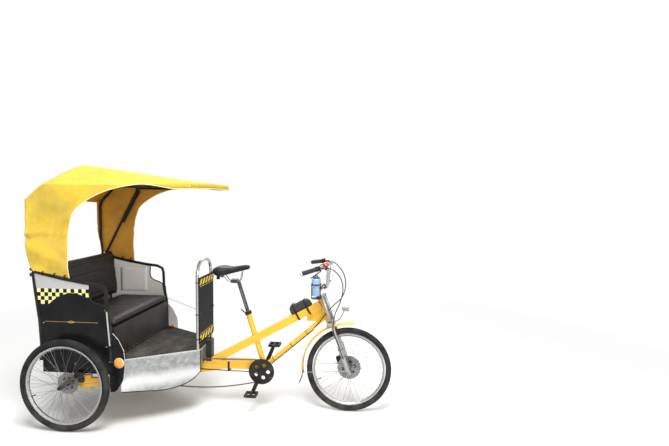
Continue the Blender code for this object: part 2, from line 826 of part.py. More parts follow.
def spine_outline(grow=0.0):
    """The spine's side outline: a level rear run, a deep gusset and a front run up to the bracket shell."""
    return [(along(ahead), height) for ahead, height in (
        (SPINE_REAR_AHEAD - grow, SPINE_TOP + grow),
        (SPINE_REAR_AHEAD - grow, SPINE_BOTTOM - grow),
        (SPINE_DROP_REAR_AHEAD, SPINE_BOTTOM - grow),
        (SPINE_DROP_FRONT_AHEAD, SPINE_BOTTOM - SPINE_DROP - grow),
        (SPINE_SLIM_AHEAD, CRANK_HEIGHT + GAP - grow),
        (SPINE_FRONT_AHEAD + grow, CRANK_HEIGHT + GAP - grow),
        (SPINE_FRONT_AHEAD + grow, SPINE_TOP + grow),
        (mix(SPINE_SLIM_AHEAD, SPINE_FRONT_AHEAD, 0.7), SPINE_TOP + SPINE_RISE + grow),
        (SPINE_DROP_FRONT_AHEAD, SPINE_TOP + grow),
    )]


def spine():
    """The spine beam under the deck, fused with the bored bottom bracket shell."""
    beam = prism("spine_beam", spine_outline(), 2 * SPINE_HALF_WIDTH)
    shell = rod("shell", place(CRANK_AHEAD, -SHELL_HALF_WIDTH, CRANK_HEIGHT),
                place(CRANK_AHEAD, SHELL_HALF_WIDTH, CRANK_HEIGHT), SHELL_RADIUS)
    bore_half = SHELL_HALF_WIDTH + OVERRUN
    bore = as_tool(rod("shell_bore", place(CRANK_AHEAD, -bore_half, CRANK_HEIGHT),
                       place(CRANK_AHEAD, bore_half, CRANK_HEIGHT), SPINDLE_RADIUS + RUNNING_GAP))
    return paint(cut(join(beam, shell), bore), YELLOW, 0.35)


def seat_axis(reach):
    """A point on the seat tube's axis, a reach up from the tube's top."""
    angle = radians(SEAT_ANGLE)
    return place(SEAT_TUBE_TOP_AHEAD - reach * cos(angle), 0, SEAT_TUBE_TOP_HEIGHT + reach * sin(angle))


def head_axis(reach, forward=0.0, side=0.0):
    """A point beside the steering axis: a reach up from the head tube's foot, and an offset square to it."""
    angle = radians(HEAD_ANGLE)
    return place(
        HEAD_FOOT_AHEAD - reach * cos(angle) + forward * sin(angle), side,
        HEAD_FOOT_HEIGHT + reach * sin(angle) + forward * cos(angle),
    )


def main_axis(share, back=0.0):
    """A point on the main tube's axis, a share of the way from the spine to the steering, less a length."""
    foot = place(WHEELBASE - MAIN_TUBE_FOOT_SETBACK, 0, MAIN_TUBE_FOOT_HEIGHT)
    run = head_axis(MAIN_TUBE_HEAD_REACH) - foot
    return foot + run * share - run.normalized() * back


def down_axis(share, back=0.0):
    """The same for the down tube, which rises from over the bottom bracket to the steering axis."""
    foot = place(CRANK_AHEAD, 0, CRANK_HEIGHT + DOWN_TUBE_OVER_CRANK)
    run = head_axis(DOWN_TUBE_HEAD_REACH) - foot
    return foot + run * share - run.normalized() * back


def frame_cutters():
    """The frame's tubes grown by the gap, which cope the ends of those that meet them."""
    wide = SPINE_HALF_WIDTH + OVERRUN
    crank_right, crank_left = place(CRANK_AHEAD, -wide, CRANK_HEIGHT), place(CRANK_AHEAD, wide, CRANK_HEIGHT)
    made = {
        "spine": prism("spine_cutter", spine_outline(GAP), 2 * wide),
        "shell": rod("shell_cutter", crank_right, crank_left, SHELL_RADIUS + GAP),
        "seat": rod("seat_cutter", seat_axis(OVERRUN), seat_axis(-SEAT_TUBE_FOOT_BELOW - OVERRUN),
                    SEAT_TUBE_RADIUS + GAP),
        "head": rod("head_cutter", head_axis(-OVERRUN), head_axis(HEAD_LENGTH + OVERRUN), HEAD_RADIUS + GAP),
        "main": bar("main_cutter", main_axis(0), main_axis(1, -OVERRUN * 2),
                    MAIN_TUBE_WIDTH + 2 * GAP, MAIN_TUBE_DEPTH + 2 * GAP),
        "down": rod("down_cutter", down_axis(0, -SHELL_RADIUS), down_axis(1), DOWN_TUBE_RADIUS + GAP),
    }
    return {name: as_tool(tool) for name, tool in made.items()}


def frame_tubes(tools):
    """The frame's main tube, seat tube and down tube, coped to each other."""
    main = bar("main_tube", main_axis(0), main_axis(1, HEAD_RADIUS / 2), MAIN_TUBE_WIDTH, MAIN_TUBE_DEPTH)
    paint(cut(main, tools["spine"], tools["seat"], tools["head"]), YELLOW, 0.35)

    seat = rod("seat_tube", seat_axis(0), seat_axis(-SEAT_TUBE_FOOT_BELOW), SEAT_TUBE_RADIUS)
    bore_depth = POST_INSERTION + POST_DOWN_TRAVEL + BORE_SPARE
    bore = as_tool(rod("seat_bore", seat_axis(OVERRUN), seat_axis(-bore_depth), POST_RADIUS + RUNNING_GAP))
    paint(cut(seat, tools["spine"], tools["shell"], bore), YELLOW, 0.35)

    down = rod("down_tube", down_axis(0, -SHELL_RADIUS), down_axis(1), DOWN_TUBE_RADIUS)
    paint(cut(down, tools["shell"], tools["spine"], tools["seat"], tools["head"]), YELLOW, 0.35)


def head_tube(tools):
    """The bored head tube with the gusset plate behind it, between the main tube and the down tube."""
    head = rod("head_tube", head_axis(0), head_axis(HEAD_LENGTH), HEAD_RADIUS)
    corner = head_axis(HEAD_LENGTH / 2)
    gusset = prism("gusset", [
        (corner.x, corner.z - GUSSET_HEIGHT / 2), (corner.x, corner.z + GUSSET_HEIGHT / 2),
        (corner.x - GUSSET_LENGTH, corner.z + GUSSET_HEIGHT / 2),
        (corner.x - GUSSET_LENGTH, corner.z - GUSSET_HEIGHT / 2),
    ], GUSSET_THICKNESS)
    steer_bore = as_tool(rod("steerer_bore", head_axis(-OVERRUN), head_axis(HEAD_LENGTH + OVERRUN),
                             STEERER_RADIUS + RUNNING_GAP))
    over, under = main_axis(1, -OVERRUN * 2), down_axis(1)
    rear_over, rear_under = main_axis(1, GUSSET_LENGTH * 3), down_axis(1, GUSSET_LENGTH * 3)
    above = as_tool(prism("gusset_above", [
        (rear_over.x, rear_over.z), (over.x, over.z), (over.x, over.z + GUSSET_HEIGHT),
        (rear_over.x, over.z + GUSSET_HEIGHT),
    ], GUSSET_THICKNESS + OVERRUN))
    beneath = as_tool(prism("gusset_beneath", [
        (rear_under.x, rear_under.z), (under.x + OVERRUN, under.z + OVERRUN),
        (under.x + OVERRUN, rear_under.z), (rear_under.x, rear_under.z - OVERRUN),
    ], GUSSET_THICKNESS + OVERRUN))
    cut(gusset, tools["main"], tools["down"], above, beneath)
    paint(cut(join(head, gusset), steer_bore), YELLOW, 0.35)


def saddle_group():
    """The seat collar, and the sliding post with its clamp, the saddle's wire rails and its shell."""
    collar_outer = SEAT_TUBE_RADIUS + COLLAR_THICKNESS
    collar = rod("seat_collar", seat_axis(-COLLAR_HEIGHT), seat_axis(0), collar_outer)
    hole = as_tool(rod("collar_hole", seat_axis(-COLLAR_HEIGHT - OVERRUN), seat_axis(OVERRUN),
                       SEAT_TUBE_RADIUS + GAP))
    paint(cut(collar, hole), BLACK, 0.4)

    top = seat_axis(POST_RISE)
    centre = top - Vector((POST_LAYBACK, 0, 0))
    post = rod("seat_post", seat_axis(-POST_INSERTION), top, POST_RADIUS)
    half = Vector((CLAMP_LENGTH / 2, CLAMP_WIDTH / 2, CLAMP_DEPTH / 2))
    clamp = box("clamp", centre - half, centre + half)
    grooves = []
    for word, side in SIDES:
        beside = centre + Vector((0, side * RAIL_WIRE_HALF_SPACING, 0))
        run = Vector((CLAMP_LENGTH, 0, 0))
        groove = rod(f"groove_{word}", beside - run, beside + run, RAIL_WIRE_RADIUS + GAP, 12)
        grooves.append(as_tool(groove))
    paint(cut(join(post, clamp), *grooves), BLACK, 0.4)

    path = wire_path(centre)
    rails = solid_from(tube("saddle_rails", path, RAIL_WIRE_RADIUS, 1))
    saddle_shell = cut(saddle(), grown_tube("wire_cutter", path, RAIL_WIRE_RADIUS, 1))
    paint(rails, STEEL, 0.3, 0.9)
    hang(pivot("seat_post_pivot", seat_axis(0)), post, rails, saddle_shell)


def saddle_corner():
    """The point over the saddle's tail, at the height of its top."""
    return seat_axis(POST_RISE) + Vector((-SADDLE_BEHIND_POST, 0, SADDLE_OVER_POST))


def wire_path(centre):
    """The saddle's wire, from the tail through the clamp to the nose and back on the other side."""
    corner = saddle_corner()
    bottom = corner.z - SADDLE_HEIGHT / 2
    right_side = [
        (corner.x + SADDLE_LENGTH / 5, -SADDLE_WIDTH / 4, bottom),
        (centre.x - CLAMP_LENGTH, -RAIL_WIRE_HALF_SPACING, centre.z),
        (centre.x + CLAMP_LENGTH, -RAIL_WIRE_HALF_SPACING, centre.z),
        (corner.x + SADDLE_LENGTH * 0.8, -RAIL_WIRE_HALF_SPACING / 2, bottom),
    ]
    left_side = [(x, -y, z) for x, y, z in reversed(right_side)]
    return rounded(right_side + left_side, CLAMP_LENGTH / 3, 2)


def saddle():
    """The padded saddle: cross sections from the broad tail to the narrow nose."""
    section_shares = (
        # length share, width share, top share, bottom share of the height
        (0.0, 0.55, 0.62, 0.36), (0.07, 0.90, 0.80, 0.10), (0.22, 1.0, 0.90, 0.0), (0.42, 0.78, 0.84, 0.22),
        (0.62, 0.34, 0.88, 0.36), (0.85, 0.24, 0.98, 0.52), (1.0, 0.16, 0.94, 0.66),
    )
    outline_shares = (
        # share of the half width, share of the height
        (-1, 0.15), (-0.92, 0.72), (-0.5, 1.0), (0.5, 1.0), (0.92, 0.72), (1, 0.15), (0.6, 0.0), (-0.6, 0.0),
    )
    corner = saddle_corner()
    floor = corner.z - SADDLE_HEIGHT
    rings = []
    for length, width, top, bottom in section_shares:
        x = corner.x + SADDLE_LENGTH * length
        low, high = floor + SADDLE_HEIGHT * bottom, floor + SADDLE_HEIGHT * top
        rings.append([(x, SADDLE_WIDTH / 2 * width * y, mix(low, high, z)) for y, z in outline_shares])
    return paint(loft("saddle", rings, closed=True), BLACK, 0.6)


def fork():
    """The fork: steerer, crown, two telescopic legs and the front axle between their feet."""
    steerer_top = HEAD_LENGTH + STEM_COLLAR_HEIGHT
    body = rod("fork", head_axis(-CROWN_DEPTH), head_axis(steerer_top), STEERER_RADIUS)
    crown_width = 2 * (LEG_HALF_SPACING + STANCHION_RADIUS + CROWN_DROP)
    crown = bar("crown", head_axis(-CROWN_DROP, LEG_OFFSET / 2),
                head_axis(-CROWN_DROP - CROWN_DEPTH, LEG_OFFSET / 2), crown_width, CROWN_LENGTH)
    bevel(crown, CROWN_DEPTH / 4)
    pieces = [crown]
    axle_reach = fork_axle_reach()
    for word, side in SIDES:
        y = side * LEG_HALF_SPACING
        lower_top = -CROWN_DROP - CROWN_DEPTH - STANCHION_LENGTH
        pieces.append(rod(f"stanchion_{word}", head_axis(-CROWN_DROP - CROWN_DEPTH / 2, LEG_OFFSET, y),
                          head_axis(lower_top - CROWN_DEPTH, LEG_OFFSET, y), STANCHION_RADIUS, 16))
        pieces.append(rod(f"leg_{word}", head_axis(lower_top, LEG_OFFSET, y),
                          head_axis(axle_reach - LEG_FOOT_LENGTH, LEG_OFFSET, y), LEG_RADIUS, 16))
    end = LEG_HALF_SPACING + LEG_RADIUS + AXLE_NUT_THICKNESS / 2
    pieces.append(rod("front_axle", place(WHEELBASE, -end, TYRE_RADIUS), place(WHEELBASE, end, TYRE_RADIUS),
                      FRONT_AXLE_RADIUS, 12))
    return paint(join(body, *pieces), SILVER, 0.3, 0.8)


def fork_axle_reach():
    """How far up the steering axis the front axle stands, which is below its foot."""
    angle = radians(HEAD_ANGLE)
    return -HEAD_FOOT_SETBACK * cos(angle) + (TYRE_RADIUS - HEAD_FOOT_HEIGHT) * sin(angle)


def stem():
    """The stem: a collar on the steerer, a short riser and the clamp that holds the bar."""
    base = head_axis(HEAD_LENGTH + GAP)
    top = head_axis(HEAD_LENGTH + STEM_COLLAR_HEIGHT + STEM_RISE)
    clamp_centre = place(BAR_AHEAD, 0, BAR_HEIGHT)
    riser = solid_from(tube("stem", rounded([base, top, clamp_centre], STEM_RISE, 2), STEM_RADIUS, 2))
    collar = rod("stem_collar", base, head_axis(HEAD_LENGTH + STEM_COLLAR_HEIGHT + STEM_CAP_HEIGHT),
                 STEM_COLLAR_RADIUS)
    half = Vector((0, BAR_CLAMP_LENGTH / 2, 0))
    clamp = rod("bar_clamp", clamp_centre - half, clamp_centre + half, BAR_CLAMP_RADIUS)
    bar_hole = as_tool(rod("bar_hole", clamp_centre - half * 2, clamp_centre + half * 2, BAR_RADIUS + GAP))
    steerer_hole = as_tool(rod("stem_hole", head_axis(HEAD_LENGTH - OVERRUN),
                               head_axis(HEAD_LENGTH + STEM_COLLAR_HEIGHT + GAP), STEERER_RADIUS + GAP))
    return paint(cut(join(riser, collar, clamp), bar_hole, steerer_hole), STEEL, 0.3, 0.9)


def bar_half(side):
    """One side of the handlebar's path: out, up a tall riser and back to the grip."""
    bar_shares = (
        # reach share (forward positive), width share, rise share
        (0.0, 0.19, 0.0), (0.28, 0.42, 0.12), (0.36, 0.50, 0.90), (0.10, 0.60, 1.02), (-1.0, 1.0, 0.82),
    )
    return [
        place(BAR_AHEAD + BAR_REACH * reach, side * BAR_HALF_WIDTH * width, BAR_HEIGHT + BAR_RISE * rise)
        for reach, width, rise in bar_shares
    ]


def grip_line(side):
    """The last leg of the handlebar, from its outer end inwards, as a point and a unit direction."""
    path = bar_half(side)
    return path[-1], (path[-2] - path[-1]).normalized()


def handlebar_group():
    """The chrome handlebar with its rubber grips and brake levers."""
    right, left = bar_half(-1), bar_half(1)
    path = rounded(list(reversed(right)) + left, BAR_BEND, 2)
    made = [paint(tube("handlebar", path, BAR_RADIUS, 2), SILVER, 0.15, 1.0)]
    for word, side in SIDES:
        end, inward = grip_line(side)
        inner = end + inward * GRIP_LENGTH
        lip = inward * GRIP_FLANGE_LENGTH
        grip = rod(f"grip_{word}", end - lip, inner, GRIP_RADIUS, 16)
        flange = rod(f"grip_flange_{word}", inner - lip, inner, GRIP_FLANGE_RADIUS, 16)
        hole = as_tool(rod(f"grip_hole_{word}", end - inward * GAP, inner + inward * OVERRUN,
                           BAR_RADIUS + GAP, 16))
        made.append(paint(cut(join(grip, flange), hole), BLACK, 0.7))
        made.append(brake_lever(f"brake_lever_{word}", inner, inward))
    return made


def brake_lever(name, start, inward):
    """A lever clamped inside the grip, its blade lying ahead of the grip and below it."""
    near, far = start + inward * GAP, start + inward * (GAP + LEVER_CLAMP_LENGTH)
    body = rod(name, near, far, LEVER_CLAMP_RADIUS, 16)
    forward = inward.cross(Vector((0, 0, 1))).normalized()
    if forward.x < 0:
        forward = -forward
    root = mix(near, far, 0.5) + forward * LEVER_CLAMP_RADIUS * 0.6
    knee = root + forward * LEVER_DROP * 1.2 - Vector((0, 0, LEVER_DROP / 4))
    tip = knee - inward * LEVER_LENGTH - Vector((0, 0, LEVER_DROP))
    bent = rounded([root, knee, tip], LEVER_DROP / 2, 2)
    blade = solid_from(tube(name + "_blade", bent, LEVER_THICKNESS / 2, 1))
    spare = inward * OVERRUN
    hole = as_tool(rod(name + "_hole", near - spare, far + spare, BAR_RADIUS + GAP, 16))
    return paint(cut(join(body, blade), hole), BLACK, 0.35)


def front_fender():
    """The arched front mudguard, from ahead of the fork to the back of the tyre, with its wire stays."""
    centre = place(WHEELBASE, 0, TYRE_RADIUS)
    arch_shares = ((-1, 0.0), (-0.6, 0.75), (0, 1.0), (0.6, 0.75), (1, 0.0))
    steps = 18
    rings = []
    for step in range(steps + 1):
        angle = radians(mix(FENDER_FRONT_ANGLE, FENDER_REAR_ANGLE, step / steps))
        out, across = Vector((cos(angle), 0, sin(angle))), Vector((0, FENDER_WIDTH / 2, 0))
        rings.append([centre + out * (FENDER_RADIUS + FENDER_CROWN * rise) + across * side
                      for side, rise in arch_shares])
    guard = solid_from(loft("front_fender", rings, FENDER_THICKNESS))
    stay_angle = radians(mix(FENDER_FRONT_ANGLE, FENDER_REAR_ANGLE, 0.93))
    out = Vector((cos(stay_angle), 0, sin(stay_angle)))
    for word, side in SIDES:
        y = side * (LEG_HALF_SPACING + LEG_RADIUS + FENDER_STAY_RADIUS + GAP)
        foot = head_axis(fork_axle_reach() + FENDER_STAY_RISE, LEG_OFFSET, y)
        knee = centre + out * FENDER_RADIUS * 0.9 + Vector((0, y, 0))
        tip = centre + out * (FENDER_RADIUS + FENDER_CROWN / 3) + Vector((0, side * FENDER_WIDTH * 0.42, 0))
        join(guard, solid_from(tube(f"stay_{word}", [foot, knee, tip], FENDER_STAY_RADIUS, 1)))
    under = -CROWN_DROP - CROWN_DEPTH - GAP
    bolt_end = head_axis(under - FENDER_BOLT_LENGTH)
    join(guard, rod("fender_bolt", head_axis(under), bolt_end, FENDER_BOLT_RADIUS, 10))
    return paint(guard, YELLOW, 0.3)


def headlamp():
    """The lamp ahead of the fork's crown, on a bent arm."""
    centre, half = place(LAMP_AHEAD, 0, LAMP_HEIGHT), Vector((LAMP_LENGTH / 2, 0, 0))
    lamp = rod("headlamp", centre - half, centre + half, LAMP_RADIUS * 0.7, ROUND, LAMP_RADIUS)
    level, face = -CROWN_DROP - CROWN_DEPTH / 2, LEG_OFFSET / 2 + CROWN_LENGTH / 2 + GAP
    foot, knee = head_axis(level, face), head_axis(level, face + LAMP_LENGTH)
    arm = solid_from(tube("lamp_arm", rounded([foot, knee, centre], LAMP_RADIUS, 2), LAMP_ARM_RADIUS, 1))
    return paint(join(lamp, arm), SILVER, 0.3, 0.7)


def bottle_and_cage():
    """The drinking bottle beside the stem, and the wire cage that holds it."""
    foot = place(BOTTLE_AHEAD, -BOTTLE_SIDE_OFFSET, BOTTLE_HEIGHT)
    up = Vector((0, 0, 1))
    profile_shares = (
        # radius share, height share
        (0.90, 0.0), (1.0, 0.04), (1.0, 0.34), (0.90, 0.40),
        (1.0, 0.46), (1.0, 0.76), (0.55, 0.88), (0.50, 1.0),
    )
    steps = 16
    around = [Vector((cos(tau * i / steps), sin(tau * i / steps), 0)) * BOTTLE_RADIUS for i in range(steps)]
    bottle = loft("bottle", [
        [foot + out * radius + up * BOTTLE_LENGTH * height for out in around]
        for radius, height in profile_shares
    ], closed=True)
    paint(bottle, BLUE, 0.3)
    ring = BOTTLE_RADIUS + CAGE_WIRE_RADIUS + GAP
    base = -CAGE_WIRE_RADIUS - GAP
    cage = rod("bottle_cage", foot + up * (base - CAGE_WIRE_RADIUS), foot + up * base, ring)
    for i in range(3):
        a = tau * i / 3 + pi / 2
        beside = foot + Vector((cos(a), sin(a), 0)) * ring
        post = [beside + up * (base - CAGE_WIRE_RADIUS / 2), beside + up * (CAGE_RISE + CAGE_WIRE_RADIUS)]
        join(cage, solid_from(tube(f"cage_post_{i}", post, CAGE_WIRE_RADIUS, 1)))
    band = turned("cage_band", [
        (ring + CAGE_WIRE_RADIUS, CAGE_WIRE_RADIUS), (ring + CAGE_WIRE_RADIUS, -CAGE_WIRE_RADIUS),
        (ring - CAGE_WIRE_RADIUS / 2, -CAGE_WIRE_RADIUS), (ring - CAGE_WIRE_RADIUS / 2, CAGE_WIRE_RADIUS),
    ], ROUND, foot + up * CAGE_RISE)
    band.rotation_euler = (0, 0, 0)
    clip_end = head_axis(HEAD_LENGTH + STEM_COLLAR_HEIGHT + STEM_RISE / 2, 0, -STEM_RADIUS - GAP)
    reach = Vector((CAGE_WIRE_RADIUS, 0, CAGE_WIRE_RADIUS))
    clip = box("cage_clip", Vector((foot.x, foot.y + ring, clip_end.z)) - reach, clip_end + reach)
    return bottle, paint(join(cage, band, clip), BLACK, 0.4)


def steering_group():
    """Everything that turns with the fork."""
    pieces = [fork(), stem(), *handlebar_group(), front_fender(), headlamp(), *bottle_and_cage()]
    hang(pivot("steer_pivot", head_axis(0)), *pieces)


def crank_point(side, reach=CRANK_LENGTH):
    """The place of a pedal, or of a point short of it, on one crank arm."""
    angle = radians(CRANK_ANGLE) + (0 if side < 0 else pi)
    return CRANK_AHEAD + reach * cos(angle), CRANK_HEIGHT + reach * sin(angle)


def crank_arm(name, side):
    """A tapering crank arm with round ends."""
    root = (CRANK_AHEAD, CRANK_HEIGHT)
    end = crank_point(side)
    turn = atan2(end[1] - root[1], end[0] - root[0])
    outline = []
    steps = 8
    rounds = ((end, CRANK_END_RADIUS, turn - pi / 2), (root, CRANK_ROOT_RADIUS, turn + pi / 2))
    for centre, radius, first in rounds:
        for step in range(steps + 1):
            angle = first + pi * step / steps
            outline.append((along(centre[0] + radius * cos(angle)), centre[1] + radius * sin(angle)))
    middle = side * (CRANK_INNER_OFFSET + CRANK_THICKNESS / 2)
    return prism(name, outline, CRANK_THICKNESS, middle)


def spider_holes():
    """Five round windows round the crank's axis."""
    turns = [tau * i / SPIDER_HOLES + radians(CRANK_ANGLE) + pi / SPIDER_HOLES for i in range(SPIDER_HOLES)]
    return [circle(along(CRANK_AHEAD) + SPIDER_HOLE_CIRCLE * cos(turn),
                   CRANK_HEIGHT + SPIDER_HOLE_CIRCLE * sin(turn), SPIDER_HOLE_RADIUS, 10) for turn in turns]


def crankset():
    """The crankset: spindle, toothed ring, round guard with five windows, and the two arms."""
    spindle_half = CRANK_INNER_OFFSET + CRANK_THICKNESS / 2
    spindle = rod("crankset", place(CRANK_AHEAD, -spindle_half, CRANK_HEIGHT),
                  place(CRANK_AHEAD, spindle_half, CRANK_HEIGHT), SPINDLE_RADIUS)
    ring_reach = CHAIN_RING_RADIUS - CHAIN_HEIGHT / 2 - TEETH_CLEARANCE
    teeth = toothed(along(CRANK_AHEAD), CRANK_HEIGHT, ring_reach, CHAIN_RING_TEETH, TOOTH_HEIGHT)
    ring = pierced("chain_ring", [teeth, *spider_holes()], CHAIN_RING_THICKNESS, -CHAIN_LINE)
    disc = circle(along(CRANK_AHEAD), CRANK_HEIGHT, GUARD_RADIUS, 32)
    guard = pierced("guard", [disc, *spider_holes()], GUARD_THICKNESS, -GUARD_OFFSET)
    boss = rod("spider_boss", place(CRANK_AHEAD, -CHAIN_LINE + CHAIN_RING_THICKNESS, CRANK_HEIGHT),
               place(CRANK_AHEAD, -GUARD_OFFSET - GUARD_THICKNESS, CRANK_HEIGHT), SPIDER_BOSS_RADIUS)
    arms = [crank_arm(f"arm_{word}", side) for word, side in SIDES]
    made = paint(join(spindle, ring, guard, boss, *arms), BLACK, 0.35, 0.3)
    hang(pivot("crank_pivot", place(CRANK_AHEAD, 0, CRANK_HEIGHT)), made)


def pedal(word, side):
    """A pedal: a caged platform with two slots, on a spindle that meets the crank arm."""
    ahead, height = crank_point(side)
    x = along(ahead)
    inner = CRANK_INNER_OFFSET + CRANK_THICKNESS + PEDAL_SPINDLE_LENGTH
    near, far = side * inner, side * (inner + PEDAL_WIDTH)
    half = PEDAL_LENGTH / 2
    slots = []
    for end in (-1, 1):
        slot = sorted((end * PEDAL_BAR / 2, end * (half - PEDAL_BAR)))
        across = sorted((near + side * PEDAL_BAR, far - side * PEDAL_BAR))
        slots.append([(x + slot[0], across[0]), (x + slot[1], across[0]),
                      (x + slot[1], across[1]), (x + slot[0], across[1])])
    rim = [(x - half, near), (x + half, near), (x + half, far), (x - half, far)]
    body = pierced(f"pedal_{word}", [rim, *slots], PEDAL_THICKNESS, height, flat=True)
    arm_face = CRANK_INNER_OFFSET + CRANK_THICKNESS + GAP
    spindle = rod(f"pedal_spindle_{word}", place(ahead, side * arm_face, height),
                  place(ahead, side * (inner + PEDAL_BAR / 2), height), PEDAL_SPINDLE_RADIUS, 16)
    made = paint(join(body, spindle), BLACK, 0.5)
    hang(pivot(f"pedal_{word}_pivot", place(ahead, near, height)), made)


def carrier():
    """The yellow subframe: a cross tube, two arms to the bored axle blocks and four posts under the deck."""
    low = TYRE_RADIUS - CARRIER_CROSS_HEIGHT / 2
    arm_outer = CARRIER_ARM_OFFSET + CARRIER_ARM_WIDTH / 2
    body = box("axle_carrier", place(CARRIER_CROSS_AHEAD, -CARRIER_ARM_OFFSET, low),
               place(CARRIER_CROSS_AHEAD + CARRIER_CROSS_LENGTH, CARRIER_ARM_OFFSET,
                     low + CARRIER_CROSS_HEIGHT))
    arm_low, arm_high = TYRE_RADIUS - CARRIER_ARM_HEIGHT / 2, TYRE_RADIUS + CARRIER_ARM_HEIGHT / 2
    block_low, block_high = TYRE_RADIUS - CARRIER_BLOCK_HEIGHT / 2, TYRE_RADIUS + CARRIER_BLOCK_HEIGHT / 2
    post_top = DECK_TOP - DECK_THICKNESS - GAP
    rear, rear_post = CARRIER_REAR_AHEAD, CARRIER_REAR_AHEAD + CARRIER_POST_LENGTH
    block, block_front = CARRIER_BLOCK_AHEAD, CARRIER_BLOCK_AHEAD + CARRIER_BLOCK_LENGTH
    front = CARRIER_CROSS_AHEAD + CARRIER_CROSS_LENGTH + GAP
    front_post = front - CARRIER_POST_LENGTH
    outline = [(along(ahead), height) for ahead, height in (
        (rear, arm_low), (block, arm_low), (block, block_low), (block_front, block_low),
        (block_front, arm_low),
        (front, arm_low), (front, post_top), (front_post, post_top), (front_post, arm_high),
        (block_front, arm_high), (block_front, block_high), (block, block_high), (block, arm_high),
        (rear_post, arm_high), (rear_post, post_top), (rear, post_top),
    )]
    for word, side in SIDES:
        join(body, prism(f"carrier_arm_{word}", outline, CARRIER_ARM_WIDTH, side * CARRIER_ARM_OFFSET))
    end = arm_outer + OVERRUN
    bore = as_tool(rod("axle_bore", place(0, -end, TYRE_RADIUS), place(0, end, TYRE_RADIUS),
                       REAR_AXLE_RADIUS + GAP, 16))
    return paint(cut(body, bore), YELLOW, 0.4)


def rail_path():
    """The bent rail seen from the side: rear post, top rail falling forwards, bend and front post."""
    rail_shares = (
        # length share, rise share above the deck
        (0.103, 0.0), (0.076, 0.440), (0.026, 0.790), (0.0, 0.985), (0.030, 1.0), (0.374, 0.932),
        (0.683, 0.886), (0.850, 0.869), (0.930, 0.836), (0.950, 0.775), (0.958, 0.551), (0.998, 0.372),
        (1.0, 0.0),
    )
    rear, foot = RAIL_REAR_AHEAD, DECK_TOP + GAP
    return [(rear + RAIL_LENGTH * length, foot + RAIL_RISE * rise) for length, rise in rail_shares]


def below(name, height, reach=CAB_HALF_WIDTH + OVERRUN):
    """A tool that takes away whatever hangs lower than a height."""
    return as_tool(box(name, place(-reach, -reach, height - OVERRUN), place(reach, reach, height)))


def rail(word, side):
    """One black rail with the plate at its rear corner that the hood's bows stand on."""
    points = rail_points(side)
    obj = solid_from(tube(f"rail_{word}", points, RAIL_RADIUS, 2))
    across = sorted((side * plate_inner(), side * (CAB_HALF_WIDTH - HOOD_THICKNESS - GAP)))
    corner = rail_path()[3]
    plate_box = box(
        f"bow_plate_{word}",
        place(corner[0] - BRACKET_PLATE_LENGTH / 2, across[0], BOW_FOOT_HEIGHT - GAP - BRACKET_PLATE_HEIGHT),
        place(corner[0] + BRACKET_PLATE_LENGTH / 2, across[1], BOW_FOOT_HEIGHT - GAP),
    )
    floor_tool = below(f"under_rail_{word}", DECK_TOP + GAP, RAIL_LENGTH * 2)
    return paint(cut(join(obj, plate_box), floor_tool), BLACK, 0.35)


def rail_points(side):
    """The rail's path in space, its feet run down past the deck's top before they are cut square."""
    points = [place(ahead, side * CAB_HALF_WIDTH, height) for ahead, height in rail_path()]
    for foot in (points[0], points[-1]):
        foot.z -= RAIL_RADIUS
    return points


def plate_inner():
    """How far out the inner faces of the plates on the rails' rear corners stand."""
    return bow_side() - BRACKET_PLATE_THICKNESS / 2


def rail_cutter(word, side):
    """The rail grown by the gap, which seats the side panel and the hood's foot against it."""
    return grown_tube(f"rail_cutter_{word}", rail_points(side), RAIL_RADIUS)


def side_panel(word, side, tool):
    """A side panel inside its rail, its front top corner cut out in a curve, with the lamp plate below."""
    panel_shares = (
        # length share, rise share above the panel's foot
        (0.103, 0.0), (0.103, 0.137), (0.076, 0.517), (0.026, 0.818), (0.004, 0.985), (0.030, 1.0),
        (0.374, 0.941), (0.683, 0.902), (0.738, 0.890), (0.731, 0.800), (0.744, 0.740), (0.790, 0.712),
        (0.860, 0.690), (0.955, 0.660), (0.960, 0.612), (0.998, 0.458), (1.0, 0.137),
    )
    lamp_shares = (
        # length share of the lamp plate, rise share above its foot
        (0.24, 0.98), (0.62, 0.87), (0.95, 0.69), (1.0, 0.55), (1.0, 0.414), (0.90, 0.207),
        (0.55, 0.048), (0.30, 0.0), (0.05, 0.0), (0.0, 0.294),
    )
    rear, lamp_rear = along(PANEL_REAR_AHEAD), along(LAMP_PLATE_AHEAD)
    outline = [(rear + PANEL_LENGTH * length, PANEL_BOTTOM + PANEL_RISE * rise)
               for length, rise in panel_shares]
    outline += [(lamp_rear + LAMP_PLATE_LENGTH * length, LAMP_PLATE_BOTTOM + LAMP_PLATE_RISE * rise)
                for length, rise in lamp_shares]
    panel = prism(f"side_panel_{word}", outline, PANEL_THICKNESS, side * CAB_HALF_WIDTH)
    return paint(cut(panel, tool), BLACK, 0.4)


def marker_lamp(word, side):
    """The round amber lamp on the lamp plate."""
    profile_shares = (
        # radius share, depth share
        (0.45, 0.96), (0.78, 0.78), (1.0, 0.45), (1.0, 0.0),
    )
    face = place(MARKER_AHEAD, side * (CAB_HALF_WIDTH + PANEL_THICKNESS / 2 + GAP), MARKER_HEIGHT)
    out = Vector((0, side * MARKER_DEPTH, 0))
    around = [Vector((cos(tau * i / ROUND), 0, sin(tau * i / ROUND))) * MARKER_RADIUS for i in range(ROUND)]
    rings = [[face + spoke * radius + out * depth for spoke in around] for radius, depth in profile_shares]
    return paint(loft(f"marker_lamp_{word}", rings, closed=True), AMBER, 0.25)


def inner_half():
    """Half the clear width between the side panels' inner faces."""
    return CAB_HALF_WIDTH - PANEL_THICKNESS / 2


